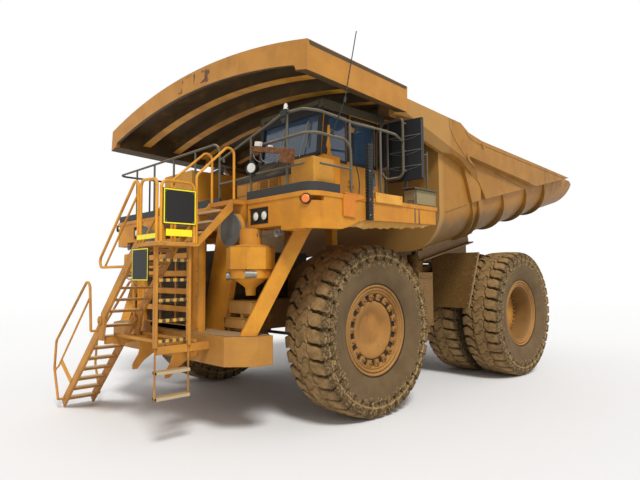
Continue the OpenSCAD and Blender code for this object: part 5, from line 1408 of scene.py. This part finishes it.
# Heights of the front plate's lower edge: where the fillet ends, at its middle and at the side beam
fillet_xs = [inner_half - fillet_wide, inner_half - fillet_wide / 2, inner_half]
cut_zs = [arch_z(x, arch_r - front_deep) for x in fillet_xs]
foot_z = cut_zs[2] - fillet_high
rise_z = cut_zs[0] - foot_z
quarter = [math.radians(90) * k / 12 for k in range(13)]
fillet_line = [(fillet_xs[0] + fillet_wide * math.cos(t), foot_z + rise_z * math.sin(t)) for t in quarter]
fillet_line += [(x, z + 0.004) for x, z in zip(fillet_xs, cut_zs)] + [(inner_half + 0.004, foot_z)]
fillets = Form()
for s in (-1, 1):
    fillets.loft([[on_canopy @ Vector((s * x, y, z)) for x, z in fillet_line] for y in (0.0015, 0.0585)])
fillets.piece("canopy_front_fillets", canopy_paint, "dump_body", slot="body_paint")


def ragged(wide, high, seed, points=22):
    """A ragged closed outline for a patch of bare metal."""
    shape = []
    for t in all_round(points):
        r = 1 + 0.28 * math.sin(3 * t + seed) + 0.20 * math.sin(7 * t + seed * 2.3)
        r += 0.12 * math.sin(11 * t + seed)
        shape.append((wide / 2 * r * math.cos(t), high / 2 * r * math.sin(t)))
    return shape


scars, side_strip = Form(), Form()
# Place across the front plate and below its top edge, width, height and seed of each scar
for x, down, wide, high, seed in (
    (0.66, 0.15, 0.16, 0.17, 1.1), (0.62, 0.265, 0.24, 0.09, 4.1), (0.52, 0.08, 0.06, 0.05, 2.6),
    (0.24, 0.13, 0.05, 0.18, 0.4), (-0.18, 0.10, 0.035, 0.07, 2.2), (-0.24, 0.29, 0.16, 0.035, 5.2),
    (-0.20, 0.245, 0.03, 0.05, 3.0), (0.02, 0.055, 0.22, 0.012, 1.9),
):
    z, outline = arch_z(x, arch_r) - down, ragged(wide, high, seed)
    scars.loft([[on_canopy @ Vector((x + a, y, z + b)) for a, b in outline] for y in (-0.0008, 0.0005)])
scars.piece("canopy_scars", scar_paint, "dump_body", slot="body_paint")
# A dark strip of painted shade along the lip at each side's top edge
strip_line = [(0.02, -0.012), (0.05, -0.075), (2.30, -0.060), (2.33, -0.008)]
for s in (-1, 1):
    faces_x = [s * (canopy_half + out) for out in (0.0004, 0.003)]
    side_strip.loft([[on_canopy @ Vector((x, y, z - canopy_rise)) for y, z in strip_line] for x in faces_x])
side_strip.piece("canopy_side_shade_strips", lip_shade_paint, "dump_body", slot="body_paint")

# Rock body: welded wear plate with seams and lifting eyes, as thin weld beads on the side sheets and small
# lugs. Its foot is caked with mud from the wheels, its front wall is painted lighter as painted light thrown
# up from the ground, and its sides darken in ragged streaks toward the tail.


def body_mud_and_painted_light(f, where, face, patch, colour):
    """Dried mud thrown up by the wheels over the foot of the rock body, painted light on its front wall, and
    darker ragged streaks towards its tail.
    """
    y, z = (f.axis(where, name) for name in "YZ")
    ragged_edge = f.noise(where, 1.0, 5, 0.65, (6, 6, 0.8))
    reach = z + y * -0.16 + (patch - 0.5) * 0.7 + (ragged_edge - 0.5) * 0.5
    colour = f.mix((1 - reach.rise(3.42, 3.78)) * 0.88, colour, f.mix(patch, MUD, tone(96, 72, 38)))
    # Painted light: the front wall under the deck is lighter, for light thrown up from the ground
    colour = f.mix((1 - y.rise(-0.72, -0.58)) * 0.6, colour, tone(178, 136, 74))
    # Faces that don't look up darken in ragged streaks towards the tail
    tail = y.rise(2.4, 5.2) * ragged_edge.rise(0.46, 0.66) * (1 - face.rise(0.2, 0.6))
    return f.mix(tail * 0.5, colour, tone(92, 58, 30))


body_paint = dusty_paint("body_paint", tone(164, 114, 42), tone(146, 98, 30), dust=0.42, stain=0.6,
                         over=body_mud_and_painted_light)
weld_paint = plain_paint("weld_bead", tone(110, 76, 38), tone(150, 112, 62), dust=0.4, rough=0.7)
dress(body_paint, "bed_shell", "bed_ribs")
weld_r, wing_x, band_x, wall_x = 0.005, 3.1008, 2.9858, 2.9008
front_seam = [(-0.70, 5.50), (-0.68, 5.30), (-0.46, 5.06), (-0.05, 4.77), (0.26, 4.61)]
top_seam = [(-0.10, 5.36), (0.06, 5.24), (0.40, 5.18), (5.15, 5.006)]
welds, lugs = Form(), Form()
for s in (-1, 1):
    welds.pipe([(s * wing_x, y, z) for y, z in front_seam], weld_r, 0.2, 6)
    for x, a, b in ((wing_x, (-0.02, 4.86), (2.92, 4.632)), (band_x, (1.30, 4.70), (2.75, 4.50)),
                    (wall_x, (-0.60, 3.66), (0.30, 3.90))):
        welds.bar((s * x, *a), (s * x, *b), weld_r, 6)
    welds.pipe([(s * wing_x, y, z) for y, z in top_seam], weld_r, 0.1, 6)
    x0, x1 = sorted((s * 3.1005, s * 3.122))
    for y, z in ((-0.02, 4.83), (0.62, 5.17)):
        lugs.plate([(y + 0.045 * math.cos(t), z + 0.065 * math.sin(t)) for t in all_round(20)], x0, x1, "X")
welds.piece("body_welds", weld_paint, "dump_body", slot="body_paint")
lugs.piece("body_lugs", body_paint, "dump_body", 0.004, slot="body_paint")

# Hoist cylinders: two painted steel barrels that lean slightly back, from the frame up to the body. Each
# carries a turned gland at its top and a ring for the hose port at its foot.

hoist_x, (foot_y, low_z), (head_y, high_z) = 1.15, (0.75, 1.25), (0.85, 3.08)
hoist_lean = math.degrees(math.atan2(head_y - foot_y, high_z - low_z))
gland = [(1.56, 0.181), (1.56, 0.198), (1.60, 0.205), (1.645, 0.205), (1.652, 0.196), (1.652, 0.150),
         (1.60, 0.146)]
port_ring = [(0.18, 0.181), (0.18, 0.196), (0.26, 0.196), (0.26, 0.181)]
glands = Form()
for s in (-1, 1):
    at = stand(s * hoist_x, foot_y, low_z, -hoist_lean, "X") @ Matrix.Rotation(math.radians(-90), 4, "Y")
    for profile in (gland, port_ring):
        glands.turned(profile, 40, at, closed=True)
glands.piece("hoist_glands", chassis_paint, "hoist_barrels", slot="body_paint", angle=30)
